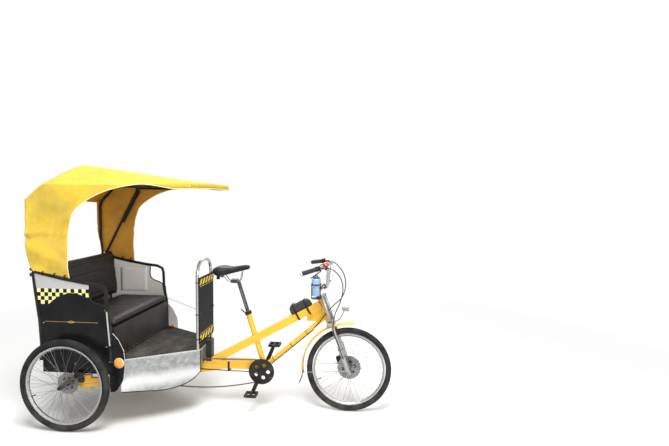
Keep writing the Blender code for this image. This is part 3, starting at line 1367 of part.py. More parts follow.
def deck_half_width(ahead):
    """Half the deck's width at a place along its tapering front."""
    share = (ahead - DECK_TAPER_AHEAD) / (DECK_FRONT_AHEAD - DECK_TAPER_AHEAD)
    return mix(inner_half() - GAP, DECK_FRONT_HALF_WIDTH, max(share, 0))


def deck():
    """The floor: full width under the seat, tapering to the hoop in front."""
    wide = inner_half() - GAP
    half = [(DECK_REAR_AHEAD, wide), (DECK_TAPER_AHEAD, wide), (DECK_FRONT_AHEAD, DECK_FRONT_HALF_WIDTH)]
    outline = [(along(ahead), -y) for ahead, y in half] + [(along(ahead), y) for ahead, y in reversed(half)]
    plate = prism("floor_deck", outline, DECK_THICKNESS, DECK_TOP - DECK_THICKNESS / 2, flat=True)
    return paint(plate, BLACK, 0.8)


def skirt():
    """The bent metal skirt that hangs from the deck's tapering edges and across its front."""
    skirt_shares = (
        # share of the way forward, bottom share of the full drop, share of the half width there
        (0.0, 0.87, 1.0), (0.35, 0.96, 1.0), (0.58, 1.0, 1.0), (0.78, 0.94, 1.0), (0.92, 0.80, 1.0),
        (1.0, 0.64, 1.0), (1.0, 0.36, 0.55),
    )
    near, far = GAP * 1.5, GAP * 1.5 + SKIRT_THICKNESS
    rings = []
    for share, fall, width in skirt_shares:
        ahead = mix(SKIRT_REAR_AHEAD, DECK_FRONT_AHEAD, share)
        drop = SKIRT_DROP * fall
        bend = min(SKIRT_BEND_DROP, drop - SKIRT_FLARE)
        flare = SKIRT_FLARE * (1 - share)
        corner = 1 if share == 1 else 0
        line = ((0, 0), (bend, 0), (drop, flare))
        section = [(level, far, spread) for level, spread in line]
        section += [(level, near, spread) for level, spread in reversed(line)]
        half = deck_half_width(ahead)
        rings.append([(ahead + corner * offset, (half + offset + spread) * width, DECK_TOP - level)
                      for level, offset, spread in section])
    right = [[place(ahead, -half, height) for ahead, half, height in ring] for ring in rings]
    left = [[place(*corner) for corner in ring] for ring in reversed(rings)]
    return paint(loft("skirt", right + left, closed=True), SILVER, 0.35, 0.8)


def deck_bracket():
    """The black bracket that ties the deck's front edge and the hoop to the main tube."""
    rear = DECK_FRONT_AHEAD + SKIRT_THICKNESS + 2 * GAP
    half = BRACKET_WIDTH / 2
    return box("deck_bracket", place(rear, -half, BRACKET_TOP - BRACKET_HEIGHT),
               place(rear + BRACKET_LENGTH, half, BRACKET_TOP))


def rear_line(height):
    """How far ahead the rear posts stand at a height, following the rail's first legs."""
    path = rail_path()[:4]
    for low, high in zip(path, path[1:]):
        if height <= high[1]:
            return mix(low[0], high[0], (height - low[1]) / (high[1] - low[1]))
    return path[-1][0]


def seat():
    """The seat: a folded box, its cushion and the back panel between the rear posts."""
    half = CAB_HALF_WIDTH - RAIL_RADIUS - GAP
    board = SEAT_BOARD_TOP - SEAT_BOX_THICKNESS / 2
    rear = rear_line(SEAT_BOARD_TOP) + BACK_PANEL_THICKNESS / 2 + SIDE_CLEARANCE
    path = [(SEAT_BOX_FRONT_AHEAD, DECK_TOP + GAP), (SEAT_BOX_FRONT_AHEAD, board), (rear, board)]
    paint(folded("seat_box", path, SEAT_BOX_THICKNESS, half), BLACK, 0.5)

    low = SEAT_BOARD_TOP + GAP
    cushion = box("seat_cushion", place(CUSHION_REAR_AHEAD, -half, low),
                  place(CUSHION_FRONT_AHEAD, half, low + CUSHION_THICKNESS))
    paint(bevel(cushion, CUSHION_EDGE, 2), BLACK, 0.55)

    heights = (DECK_TOP + BACK_PANEL_THICKNESS, rail_path()[1][1], rail_path()[2][1], BACK_PANEL_TOP)
    back_path = [(rear_line(height), height) for height in heights]
    paint(folded("back_panel", back_path, BACK_PANEL_THICKNESS, half), SILVER, 0.5, 0.6)


def backrest():
    """The leaning backrest, a padded slab cut to the back panel behind it."""
    back = BACK_PANEL_THICKNESS / 2 + 2 * GAP
    foot, bend, kink = SEAT_BOARD_TOP + GAP, rail_path()[1][1], rail_path()[2][1]
    upright = rear_line(kink) + back
    outline = [(along(ahead), height) for ahead, height in (
        (rear_line(foot) + back, foot),
        (CUSHION_REAR_AHEAD - GAP, foot),
        (CUSHION_REAR_AHEAD - GAP, foot + CUSHION_THICKNESS),
        (upright + BACKREST_THICKNESS, BACKREST_TOP - BACKREST_THICKNESS),
        (upright + BACKREST_THICKNESS * 0.75, BACKREST_TOP - BACKREST_THICKNESS * 0.25),
        (upright + BACKREST_THICKNESS * 0.4, BACKREST_TOP),
        (upright + BACKREST_THICKNESS * 0.1, BACKREST_TOP - BACKREST_THICKNESS * 0.1),
        (upright, BACKREST_TOP - BACKREST_THICKNESS * 0.4),
        (upright, kink),
        (rear_line(bend) + back, bend),
    )]
    half = bow_side() - BOW_RADIUS - SIDE_CLEARANCE
    return paint(prism("backrest", outline, 2 * half), BLACK, 0.55)


def crossbar():
    """The tube across the back that ties the two rear posts together."""
    end = plate_inner() - GAP
    right, left = (place(CROSSBAR_AHEAD, side * end, CROSSBAR_HEIGHT) for side in (-1, 1))
    return paint(rod("crossbar", right, left, RAIL_RADIUS, 12), BLACK, 0.35)


def hoop_and_board():
    """The chrome hoop standing on the deck's front, and the board clamped to the front of its legs."""
    corners = ((-1, DECK_TOP + GAP), (-1, HOOP_TOP), (1, HOOP_TOP), (1, DECK_TOP + GAP))
    path = [place(HOOP_AHEAD, side * HOOP_HALF_WIDTH, height) for side, height in corners]
    hoop = solid_from(tube("hoop", rounded(path, HOOP_CORNER, 8), HOOP_RADIUS, 3))
    paint(hoop, SILVER, 0.15, 1.0)
    back = HOOP_AHEAD + HOOP_RADIUS + GAP
    board = box("hoop_board", place(back, -BOARD_HALF_WIDTH, BOARD_BOTTOM),
                place(back + BOARD_THICKNESS, BOARD_HALF_WIDTH, BOARD_TOP))
    return paint(board, BLACK, 0.4)


def bow_side():
    """How far out the bows' legs stand, just inside the hood's side panels."""
    return CAB_HALF_WIDTH - HOOD_THICKNESS - GAP - BOW_RADIUS


def roof_section(ahead):
    """The roof's half width, eave height and ridge height at a place along it."""
    front = HOOD_REAR_AHEAD + HOOD_LENGTH
    share = max(ahead - RIDGE_REAR_AHEAD, 0) / (front - RIDGE_REAR_AHEAD)
    narrow = max(ahead - NARROW_AHEAD, 0) / (front - NARROW_AHEAD)
    half = mix(CAB_HALF_WIDTH + HOOD_THICKNESS / 4, VISOR_HALF_WIDTH, narrow)
    eave = mix(EAVE_HEIGHT, VISOR_HEIGHT - HOOD_THICKNESS, narrow)
    return half, eave, mix(RIDGE_HEIGHT, VISOR_HEIGHT, share)


def slope_line(half, eave, ridge):
    """The roof's slope from one eave to the ridge, as side offsets and heights."""
    slope_shares = ((1.0, 0.0), (0.78, 0.26), (0.42, 0.68), (0.0, 1.0))
    return [(half * out, mix(eave, ridge, rise)) for out, rise in slope_shares]


def mirrored(right):
    """A path from one side over the middle, completed by its mirror image."""
    return right + [Vector((point.x, -point.y, point.z)) for point in reversed(right[:-1])]


def roof_ring(ahead, section):
    """One ring of the roof's shell: lip, eave, slope, ridge and the same down the other side."""
    half, eave, ridge = section
    lip = place(ahead, -half, eave - HOOD_LIP)
    return mirrored([lip] + [place(ahead, -out, height) for out, height in slope_line(half, eave, ridge)])


def roof():
    """The hood's roof shell: rear slope over the window, ridged top and flat visor with its hanging band."""
    front = HOOD_REAR_AHEAD + HOOD_LENGTH
    window_ahead = HOOD_REAR_AHEAD + HOOD_THICKNESS + GAP
    window = (roof_section(RIDGE_REAR_AHEAD)[0], WINDOW_TOP, WINDOW_TOP + HOOD_LIP)
    rings = [roof_ring(window_ahead, window)]
    for ahead in (RIDGE_REAR_AHEAD, MAIN_BOW_TOP_AHEAD, NARROW_AHEAD, mix(NARROW_AHEAD, front, 0.55), front):
        rings.append(roof_ring(ahead, roof_section(ahead)))
    low = VISOR_HEIGHT - HOOD_BAND
    rings.append([Vector((point.x + HOOD_THICKNESS, point.y * 0.985, min(point.z - HOOD_THICKNESS, low)))
                  for point in rings[-1]])
    return solid_from(loft("hood", rings, HOOD_THICKNESS))


def hood_side(word, side):
    """One side panel of the hood, with its long curved front edge."""
    side_shares = (
        # length share from the rear edge, rise share from the rail to the eave
        (0.265, 0.0), (0.0716, 0.052), (0.029, 0.135), (0.005, 0.280), (0.0, 0.454), (0.0, 0.786),
        (0.092, 0.985), (0.66, 0.985), (0.535, 0.962), (0.475, 0.934), (0.406, 0.858), (0.344, 0.783),
        (0.305, 0.716), (0.2815, 0.619), (0.264, 0.481), (0.260, 0.332),
    )
    rear, rise = along(HOOD_REAR_AHEAD), EAVE_HEIGHT - HOOD_FOOT
    outline = [(rear + HOOD_LENGTH * length, HOOD_FOOT + rise * up) for length, up in side_shares]
    middle = side * (CAB_HALF_WIDTH - HOOD_THICKNESS / 2)
    return prism(f"hood_side_{word}", outline, HOOD_THICKNESS, middle)


def hood_hem(word, side):
    """The narrow hem inside the hood's rear edge, beside the open window."""
    outer = side * (CAB_HALF_WIDTH - HOOD_THICKNESS / 2)
    y = sorted((outer, outer - side * HOOD_HEM))
    rise = EAVE_HEIGHT - HOOD_FOOT
    return box(f"hood_hem_{word}", place(HOOD_REAR_AHEAD + GAP, y[0], HOOD_FOOT + rise * 0.454),
               place(HOOD_REAR_AHEAD + HOOD_THICKNESS, y[1], WINDOW_TOP))


def hood(tools):
    """The fabric hood: roof, two sides and two rear hems as one piece, seated on the rails."""
    body = roof()
    for word, side in SIDES:
        join(body, hood_side(word, side), hood_hem(word, side))
    return paint(cut(body, *tools), HOOD_YELLOW, 0.6)


def bow_arch(ahead):
    """The part of a bow that crosses close under the roof, from one leg to the ridge."""
    half, eave, ridge = roof_section(ahead)
    lower = (HOOD_THICKNESS + GAP + BOW_RADIUS) * 1.1
    line = slope_line(half, eave, ridge)
    share = (line[0][0] - bow_side()) / (line[0][0] - line[1][0])
    leg_top = (bow_side(), mix(line[0][1], line[1][1], share) - lower)
    return [leg_top] + [(out, up - lower) for out, up in line[1:]]


def bow_path(legs, top_ahead):
    """The whole path of a bow: one leg, the arch and the other leg."""
    right = [place(ahead, -bow_side(), height) for ahead, height in legs]
    right += [place(top_ahead, -out, height) for out, height in bow_arch(top_ahead)]
    return rounded(mirrored(right), BOW_RADIUS * 3, 1)


def hood_frame():
    """The two bows that stand on the rails' rear plates, and the visor frame that the main bow carries."""
    stand = BOW_FOOT_HEIGHT - BOW_RADIUS
    upright = HOOD_REAR_AHEAD + HOOD_THICKNESS + GAP + BOW_RADIUS
    main = bow_path([(MAIN_BOW_FOOT_AHEAD, stand)], MAIN_BOW_TOP_AHEAD)
    rear = bow_path([(REAR_BOW_FOOT_AHEAD, stand), (upright, mix(BOW_FOOT_HEIGHT, WINDOW_TOP, 0.25)),
                     (upright, WINDOW_TOP - HOOD_BAND)], RIDGE_REAR_AHEAD + BOW_RADIUS * 2)
    for name, path in (("main_bow", main), ("rear_bow", rear)):
        obj = solid_from(tube(name, path, BOW_RADIUS, 1))
        paint(cut(obj, below("under_" + name, BOW_FOOT_HEIGHT)), BLACK, 0.4)
    front = HOOD_REAR_AHEAD + HOOD_LENGTH - HOOD_THICKNESS - GAP - BOW_RADIUS * 1.5
    inset = HOOD_THICKNESS * 1.3 + GAP + BOW_RADIUS
    half = []
    for ahead in (MAIN_BOW_TOP_AHEAD, NARROW_AHEAD, front):
        out, eave, ridge = roof_section(ahead)
        half.append(place(ahead, -out + inset, eave - inset))
    path = rounded(mirrored(half + [place(front, 0, half[-1].z)]), BOW_RADIUS * 4, 2)
    visor = solid_from(tube("visor_frame", path, BOW_RADIUS, 1))
    return paint(cut(visor, grown_tube("bow_cutter", main, BOW_RADIUS, 1)), BLACK, 0.4)


def tube_bag():
    """The black bag strapped along the top of the main tube."""
    run = (main_axis(1) - main_axis(0)).normalized()
    up = Vector((-run.z, 0, run.x))
    middle = main_axis(1, BAG_BEHIND_HEAD) + up * (MAIN_TUBE_DEPTH / 2 + BAG_CLEARANCE)
    bag_shares = (
        # share along the bag, width share, height share
        (-0.5, 0.55, 0.50), (-0.38, 0.95, 0.95), (0.0, 1.0, 1.0), (0.34, 0.95, 0.92), (0.5, 0.50, 0.55),
    )
    section_shares = (
        # side share, height share of the radius
        (-0.7, 0.0), (-1.0, 0.6), (-0.85, 1.4), (0.0, 1.8), (0.85, 1.4), (1.0, 0.6), (0.7, 0.0),
    )
    rings = []
    for share, width, height in bag_shares:
        centre, side = middle + run * BAG_LENGTH * share, Vector((0, BAG_RADIUS * width, 0))
        rings.append([centre + side * y + up * BAG_RADIUS * height * z for y, z in section_shares])
    return paint(loft("tube_bag", rings, closed=True), BLACK, 0.85)


def build():
    """Makes the whole vehicle, from the wheels up."""
    wheels()
    rear_axle()
    chain()
    spine()
    tools = frame_cutters()
    frame_tubes(tools)
    head_tube(tools)
    saddle_group()
    steering_group()
    crankset()
    for word, side in SIDES:
        pedal(word, side)
    carrier()
    rail_tools = []
    for word, side in SIDES:
        rail(word, side)
        rail_tools.append(rail_cutter(word, side))
        side_panel(word, side, rail_tools[-1])
        marker_lamp(word, side)
    deck()
    skirt()
    paint(cut(deck_bracket(), tools["main"]), BLACK, 0.4)
    seat()
    backrest()
    crossbar()
    hoop_and_board()
    hood(rail_tools)
    hood_frame()
    tube_bag()


build()
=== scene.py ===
# %% [markdown]
# # Dressing a cycle rickshaw
#
# The plain solids of the rickshaw come in as a frame with its joints already in place. This lesson
# gives each of them a finish, and swaps the soft ones for cloth, cushions and a sagging bag. Every
# new surface is a grid of points worked out with numpy, because one formula then sets the shape, the
# seams and the pattern on it together.

from math import atan2, cos, pi, radians, sin, tau

import bmesh
import bpy
import numpy as np
from mathutils import Matrix, Vector


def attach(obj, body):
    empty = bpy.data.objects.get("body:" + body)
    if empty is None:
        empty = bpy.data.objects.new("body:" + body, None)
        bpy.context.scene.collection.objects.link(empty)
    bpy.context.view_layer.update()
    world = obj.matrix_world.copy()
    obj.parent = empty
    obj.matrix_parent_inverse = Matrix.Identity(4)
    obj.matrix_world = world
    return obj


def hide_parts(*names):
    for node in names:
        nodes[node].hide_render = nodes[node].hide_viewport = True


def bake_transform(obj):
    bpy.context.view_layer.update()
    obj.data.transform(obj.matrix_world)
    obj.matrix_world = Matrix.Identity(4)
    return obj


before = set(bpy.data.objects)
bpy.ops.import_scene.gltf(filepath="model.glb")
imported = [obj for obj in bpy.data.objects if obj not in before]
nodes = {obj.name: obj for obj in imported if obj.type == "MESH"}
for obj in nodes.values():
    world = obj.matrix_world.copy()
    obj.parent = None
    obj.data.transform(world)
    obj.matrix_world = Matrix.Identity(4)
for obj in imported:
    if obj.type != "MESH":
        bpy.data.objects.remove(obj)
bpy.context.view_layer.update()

# %% [markdown]
# ## From arrays to meshes
#
# A sheet, a tube and a cushion are all a grid of points: rows one way, columns the other. The same
# few lines turn any such grid into faces, close it round on itself where asked, and merge points
# that meet at a pole or a seam, so that each closed shape really is closed.

# %% Grids of points


def grid_faces(rows, columns, round_rows=False, round_columns=False):
    """Quads of a grid: each joins a point to its neighbour below, below right and right."""
    i, j = np.meshgrid(np.arange(rows - (not round_rows)), np.arange(columns - (not round_columns)),
                       indexing="ij")
    below, beside = (i + 1) % rows, (j + 1) % columns
    corners = [i * columns + j, below * columns + j, below * columns + beside, i * columns + beside]
    return np.stack(corners, axis=-1).reshape(-1, 4)


def piece(name, points, faces, uv=None, closed=True, smooth=True):
    """A mesh object from points and faces. Points that meet are merged, and a closed shape's faces are
    turned outwards."""
    mesh = bpy.data.meshes.new(name)
    mesh.from_pydata(np.asarray(points, float).reshape(-1, 3).tolist(), [], np.asarray(faces).tolist())
    if uv is not None:
        corner = np.zeros(len(mesh.loops), np.int32)
        mesh.loops.foreach_get("vertex_index", corner)
        mesh.uv_layers.new(name="laid").data.foreach_set("uv", np.asarray(uv, np.float32)[corner].ravel())
    work = bmesh.new()
    work.from_mesh(mesh)
    bmesh.ops.remove_doubles(work, verts=work.verts, dist=0.00002)
    if closed:
        bmesh.ops.recalc_face_normals(work, faces=work.faces)
    work.to_mesh(mesh)
    work.free()
    mesh.polygons.foreach_set("use_smooth", np.full(len(mesh.polygons), smooth))
    made = bpy.data.objects.new(name, mesh)
    bpy.context.scene.collection.objects.link(made)
    return made


def blend_between(low, high, share):
    """The value a share of the way from low to high."""
    return low + (high - low) * share


def smooth_step(low, high, value):
    """Goes from 0 at low to 1 at high along a soft S: 3 s squared minus 2 s cubed."""
    s = np.clip((np.asarray(value, float) - low) / (high - low), 0, 1)
    return s * s * (3 - 2 * s)


def hill(value, middle, width):
    """A smooth hill of height 1: e to the power of minus the squared distance from its middle, in widths."""
    return np.exp(-((value - middle) / width) ** 2)


def through(points, count):
    """A smooth path through the points, count points long and evenly spaced: between two points it is
    the cubic whose slopes there are half the step between the points on either side."""
    known = np.asarray(points, float)
    padded = np.vstack([2 * known[0] - known[1], known, 2 * known[-1] - known[-2]])
    t = np.linspace(0, len(known) - 1, len(known) * 24)
    k = np.minimum(t.astype(int), len(known) - 2)
    s = (t - k)[:, None]
    before, start, end, after = padded[k], padded[k + 1], padded[k + 2], padded[k + 3]
    curve = 0.5 * (2 * start + (end - before) * s + (2 * before - 5 * start + 4 * end - after) * s ** 2
                   + (3 * start - before - 3 * end + after) * s ** 3)
    return evenly(curve, count)


def evenly(path, count):
    """The same path with count points at equal steps of its length."""
    path = np.asarray(path, float)
    reach = np.r_[0, np.cumsum(np.linalg.norm(np.diff(path, axis=0), axis=1))]
    wanted = np.linspace(0, reach[-1], count)
    return np.stack([np.interp(wanted, reach, path[:, axis]) for axis in range(path.shape[1])], axis=-1)


def circle(count):
    """Angles once round, without the last one that meets the first."""
    return np.linspace(0, tau, count, endpoint=False)


def push(value, power):
    """A sine or cosine pushed towards its ends, which squares a round section up."""
    return np.sign(value) * np.abs(value) ** power


def unit(vectors):
    """Vectors with their length made 1."""
    return vectors / np.linalg.norm(vectors, axis=-1, keepdims=True)


def path_length(path):
    """The length of a path, step by step."""
    return float(np.linalg.norm(np.diff(path, axis=0), axis=1).sum())


print("a grid of 3 by 4 points has", len(grid_faces(3, 4)), "quads")

# %% Profiles carried along a path
SIDES = (-1, 1)  # right, then left
LEFT = np.array((0, 1, 0))


def tube_points(path, radius, sides=8, flatness=1.0, guide=(0, 0, 1), ends=True):
    """Rings round a path: each point is the path's point plus radius times (cosine across + sine up).
    Across is at right angles to the path and the guide. The ends close on their middles."""
    path = np.asarray(path, float)
    along = unit(np.gradient(path, axis=0))
    across = unit(np.cross(along, np.asarray(guide, float)))
    up = np.cross(across, along)
    turn = circle(sides)[None, :, None]
    size = np.broadcast_to(np.asarray(radius, float), (len(path),))[:, None, None]
    rings = path[:, None] + size * (np.cos(turn) * across[:, None] + flatness * np.sin(turn) * up[:, None])
    if ends:
        first, last = (np.repeat(path[k][None, None], sides, axis=1) for k in (0, -1))
        rings = np.concatenate([first, rings, last])
    return rings


def turned_points(profile, steps, centre, axis):
    """A profile of (place along the axis, radius) turned round it: centre + axis times place + radius
    times (cosine of one side direction + sine of the other)."""
    axis = Vector(axis).normalized()
    one = axis.orthogonal().normalized()
    other = np.array(axis.cross(one))
    profile = np.asarray(profile, float)
    turn = circle(steps)[None, :, None]
    spun = np.cos(turn) * np.array(one) + np.sin(turn) * other
    return np.asarray(centre, float) + profile[:, :1, None] * np.array(axis) + profile[:, 1:, None] * spun


def copies(name, shape, places, turns):
    """Many copies of one small shape as one mesh: every point is turned by each 3 by 3 matrix and put
    at each place, in one product of arrays."""
    points, faces = shape
    places = np.asarray(places, float)
    spread = np.einsum("nij,vj->nvi", np.asarray(turns, float), points) + places[:, None]
    shift = (np.arange(len(places)) * len(points))[:, None, None]
    return piece(name, spread, (faces[None] + shift).reshape(-1, faces.shape[1]))


def turned_shape(profile, steps, centre, axis):
    """The points and faces of a turned profile."""
    rings = turned_points(profile, steps, centre, axis)
    return rings.reshape(-1, 3), grid_faces(len(rings), steps, round_columns=True)


def button(radius, height, steps=12):
    """A domed head on a flat foot, standing along Z: its profile is a quarter of an oval."""
    bend = np.linspace(0, pi / 2, 5)
    dome = np.stack([height * np.sin(bend), radius * np.cos(bend)], axis=-1)
    return turned_shape(np.vstack([[0, 0], [0, radius], dome]), steps, (0, 0, 0), (0, 0, 1))


def facing(direction):
    """The 3 by 3 turn that stands a shape along a direction."""
    return np.array(Vector(direction).to_track_quat("Z", "Y").to_matrix())


def bolts(name, places, direction, radius=0.007, height=0.004):
    """Domed bolt heads at the places, all facing one way."""
    return copies(name, button(radius, height), places,
                  np.repeat(facing(direction)[None], len(places), axis=0))


print("a button has", len(button(0.01, 0.004)[1]), "faces")

# %% Small shapes, gathered into one piece


def tube_shape(path, radius, sides=8, **shape):
    """The points and faces of a tube along a path."""
    rings = tube_points(path, radius, sides, **shape)
    return rings.reshape(-1, 3), grid_faces(len(rings), sides, round_columns=True)


def loop_shape(path, radius, guide, sides=8):
    """A tube whose path comes back to its start, so it needs no ends."""
    path = np.asarray(path, float)
    along = np.roll(path, -1, axis=0) - np.roll(path, 1, axis=0)
    across = unit(np.cross(along, np.asarray(guide, float)))
    up = np.cross(across, unit(along))
    turn = circle(sides)[None, :, None]
    rings = path[:, None] + radius * (np.cos(turn) * across[:, None] + np.sin(turn) * up[:, None])
    return rings.reshape(-1, 3), grid_faces(len(rings), sides, round_rows=True, round_columns=True)


def ring_shape(centre, axis, radius, thick, steps=28, sides=8):
    """A ring of round section about an axis."""
    axis = Vector(axis).normalized()
    one, turn = axis.orthogonal().normalized(), circle(steps)[:, None]
    line = np.asarray(centre, float) + radius * (np.cos(turn) * np.array(one)
                                                 + np.sin(turn) * np.array(axis.cross(one)))
    return loop_shape(line, thick, axis, sides)


def block_shape(centre, size, turn=None, sharp=0.24, rows=11, steps=24):
    """A block with rounded edges. Each coordinate is half the size times the sign of a sphere's
    coordinate times its absolute value to a small power, which pushes the sphere into the corners."""
    fall, around = np.linspace(-pi / 2, pi / 2, rows)[:, None], circle(steps)[None]
    flat = push(np.cos(fall), sharp) * (np.abs(fall) < pi / 2 - 1e-6)
    level = push(np.sin(fall), sharp) + 0 * around
    points = np.stack([flat * push(np.cos(around), sharp), flat * push(np.sin(around), sharp), level],
                      axis=-1)
    points = points.reshape(-1, 3) * np.asarray(size, float) / 2
    if turn is not None:
        points = points @ np.asarray(turn, float).T
    return points + np.asarray(centre, float), grid_faces(rows, steps, round_columns=True)


def gather(name, shapes, smooth=True):
    """Several shapes as one piece: the faces of each are moved on by the points before it."""
    shift = np.cumsum([0] + [len(points) for points, faces in shapes[:-1]])
    points = np.vstack([points for points, faces in shapes])
    return piece(name, points, np.vstack([faces + s for (_, faces), s in zip(shapes, shift)]), smooth=smooth)


def dress(made, finish, body="chassis", node=None):
    """Gives a piece its finish, the body it rides on and the plain solids that it stands for."""
    made.data.materials.append(finish)
    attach(made, body)
    if node:
        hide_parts(*node.split())
    return made


def fit(name, shapes, finish, body="chassis", node=None):
    """Gathers small shapes into one piece and dresses it."""
    return dress(gather(name, shapes), finish, body, node)


print("a block has", len(block_shape((0, 0, 0), (1, 1, 1))[1]), "faces")

# %% [markdown]
# ## Finishes
#
# Real paint, rubber and cloth are never one even colour. Each effect that several finishes share is
# a node group with its own inputs: grime that lies thicker near the road, fine scratches, a woven
# ground, leather grain and brushed lines. A material then only sets numbers on those groups.

# %% Helpers for shader nodes


def tree_of(value):
    """The node tree that a socket, a node or a number belongs to."""
    return getattr(value, "socket", value).id_data


def join(made, inputs):
    """Fills a node's inputs. Each is a value, or a socket that is linked to it."""
    for name, value in inputs.items():
        value = getattr(value, "socket", value)
        if isinstance(value, bpy.types.NodeSocket):
            tree_of(made).links.new(value, made.inputs[name])
        else:
            made.inputs[name].default_value = value
    return made


def shader_node(tree, kind, inputs=None, **settings):
    """One shader node with its settings and inputs."""
    made = tree.nodes.new("ShaderNode" + kind)
    for name, value in settings.items():
        setattr(made, name, value)
    return join(made, inputs or {})


def maths(operation, first, second=0.0):
    """The result of one Math node on two numbers."""
    tree = tree_of(second if isinstance(first, float) else first)
    return Number(shader_node(tree, "Math", {0: first, 1: second}, operation=operation).outputs[0])


class Number:
    """A number from a shader node. Each sum written with it becomes a Math node, and a | b is the larger
    of two."""

    def __init__(self, socket):
        self.socket = socket

    def __rsub__(self, other):
        return maths("SUBTRACT", other, self)

    def held(self):
        """The same sum, kept between 0 and 1."""
        self.socket.node.use_clamp = True
        return self


def sum_method(operation):
    """A method for one sign, such as the plus sign."""
    return lambda one, other=0.0: maths(operation, one, other)


signs = {"add": "ADD", "sub": "SUBTRACT", "mul": "MULTIPLY", "truediv": "DIVIDE", "gt": "GREATER_THAN",
         "lt": "LESS_THAN", "or": "MAXIMUM", "abs": "ABSOLUTE"}
for sign, operation in signs.items():
    setattr(Number, f"__{sign}__", sum_method(operation))


def span(value, low, high, to_low=0.0, to_high=1.0):
    """A value carried from one range to another, held at its ends."""
    inputs = {"Value": value, "From Min": low, "From Max": high, "To Min": to_low, "To Max": to_high}
    return Number(shader_node(tree_of(value), "MapRange", inputs).outputs["Result"])


def tint(share, first, second):
    """Two colours mixed by a share."""
    return shader_node(tree_of(share), "Mix", {0: share, 6: first, 7: second}, data_type="RGBA").outputs[2]


def noise(place, scale, detail=3.0, roughness=0.5, distortion=0.0):
    """Noise from 0 to 1 at a place."""
    inputs = {"Vector": place, "Scale": scale, "Detail": detail, "Roughness": roughness,
              "Distortion": distortion}
    return Number(shader_node(tree_of(place), "TexNoise", inputs).outputs["Fac"])


def split(place):
    """The three coordinates of a place."""
    return [Number(socket) for socket in shader_node(tree_of(place), "SeparateXYZ", {0: place}).outputs]


def within(value, low, high):
    """1 where a value lies between two others, else 0."""
    return (value > low) * (value < high)


def group(name, inputs, outputs):
    """A node group with named sockets, ready to be filled. Gives its tree, input sockets and output node."""
    tree = bpy.data.node_groups.new(name, "ShaderNodeTree")
    for label, (kind, value) in inputs.items():
        socket = tree.interface.new_socket(label, in_out="INPUT", socket_type="NodeSocket" + kind)
        if value is not None:
            socket.default_value = value
    for label, kind in outputs.items():
        tree.interface.new_socket(label, in_out="OUTPUT", socket_type="NodeSocket" + kind)
    entry, leave = tree.nodes.new("NodeGroupInput"), tree.nodes.new("NodeGroupOutput")
    return tree, {socket.name: Number(socket) for socket in entry.outputs}, leave


def put_out(leave, **results):
    """Links results to a group's outputs."""
    join(leave, results)


def use(tree, group_name, **inputs):
    """Places a node group in a tree with its inputs set, and gives its outputs."""
    made = shader_node(tree, "Group", node_tree=bpy.data.node_groups[group_name])
    return {socket.name: Number(socket) for socket in join(made, inputs).outputs}


print("shader helpers ready")

# %% Shared effects as node groups
WHITE = (1, 1, 1, 1)


def grime_group():
    """Road dust: a blotchy mask, denser at low heights, that tints the colour and dulls the gloss."""
    tree, given, leave = group("Grime", {
        "Colour": ("Color", WHITE), "Dust": ("Color", (0.30, 0.27, 0.22, 1)), "Gloss": ("Float", 0.4),
        "Amount": ("Float", 0.2), "Scale": ("Float", 9.0), "Top": ("Float", 0.9),
    }, {"Color": "Color", "Roughness": "Float", "Height": "Float"})
    place = shader_node(tree, "TexCoord").outputs["Object"]
    height = split(place)[2]
    low = (1.0 - (height / given["Top"]).held()).held()
    blotch = span(noise(place, given["Scale"], 5.0, 0.62), 0.36, 0.78)
    speck = span(noise(place, 210.0, 2.0), 0.55, 0.8)
    body = blotch * (low + 0.35) + speck * 0.25
    mask = (body * given["Amount"]).held()
    put_out(leave, Color=tint(mask, given["Colour"], given["Dust"]),
            Roughness=(given["Gloss"] + mask * 0.5).held(),
            Height=blotch * 0.3 + speck)


def scratch_group():
    """Fine scratches: noise stretched along one way, where only its peaks are left."""
    tree, given, leave = group("Scratches", {"Vector": ("Vector", None), "Scale": ("Float", 30.0),
                                             "Amount": ("Float", 0.5)},
                               {"Mask": "Float"})
    long_way = shader_node(tree, "Mapping", {"Vector": given["Vector"], "Scale": (0.35, 1.0, 6.0),
                                             "Rotation": (0.3, 0.5, 0.9)})
    sharp = noise(long_way.outputs[0], given["Scale"], 4.0, 0.7, 0.4)
    put_out(leave, Mask=(span(sharp, 0.62, 0.7) * given["Amount"]).held())


def weave_group():
    """A plain weave: threads run as sines in both directions, and a chequer says which one lies on top."""
    tree, given, leave = group("Weave", {"Vector": ("Vector", None), "Threads": ("Float", 900.0)},
                               {"Height": "Float", "Shade": "Float"})
    scaled = shader_node(tree, "VectorMath", {0: given["Vector"], "Scale": given["Threads"]},
                         operation="SCALE").outputs[0]
    one, other = (abs(maths("SINE", part * pi)) for part in split(scaled)[:2])
    on_top = shader_node(tree, "TexChecker", {"Vector": scaled, "Scale": 1.0}).outputs["Fac"]
    lifted = shader_node(tree, "Mix", {0: on_top, 2: one * 0.8, 3: other}, data_type="FLOAT")
    lifted = Number(lifted.outputs[0])
    slub = noise(given["Vector"], 60.0, 3.0)
    put_out(leave, Height=lifted, Shade=lifted * 0.5 + slub * 0.5)


def leather_group():
    """Leather grain: the creases between rounded cells, softened by a slow noise."""
    tree, given, leave = group("Leather grain", {"Scale": ("Float", 260.0)}, {"Height": "Float"})
    place = shader_node(tree, "TexCoord").outputs["Object"]
    cells = shader_node(tree, "TexVoronoi", {"Vector": place, "Scale": given["Scale"]},
                        feature="DISTANCE_TO_EDGE").outputs["Distance"]
    put_out(leave, Height=span(cells, 0.0, 0.35) + noise(place, 24.0) * 0.6)


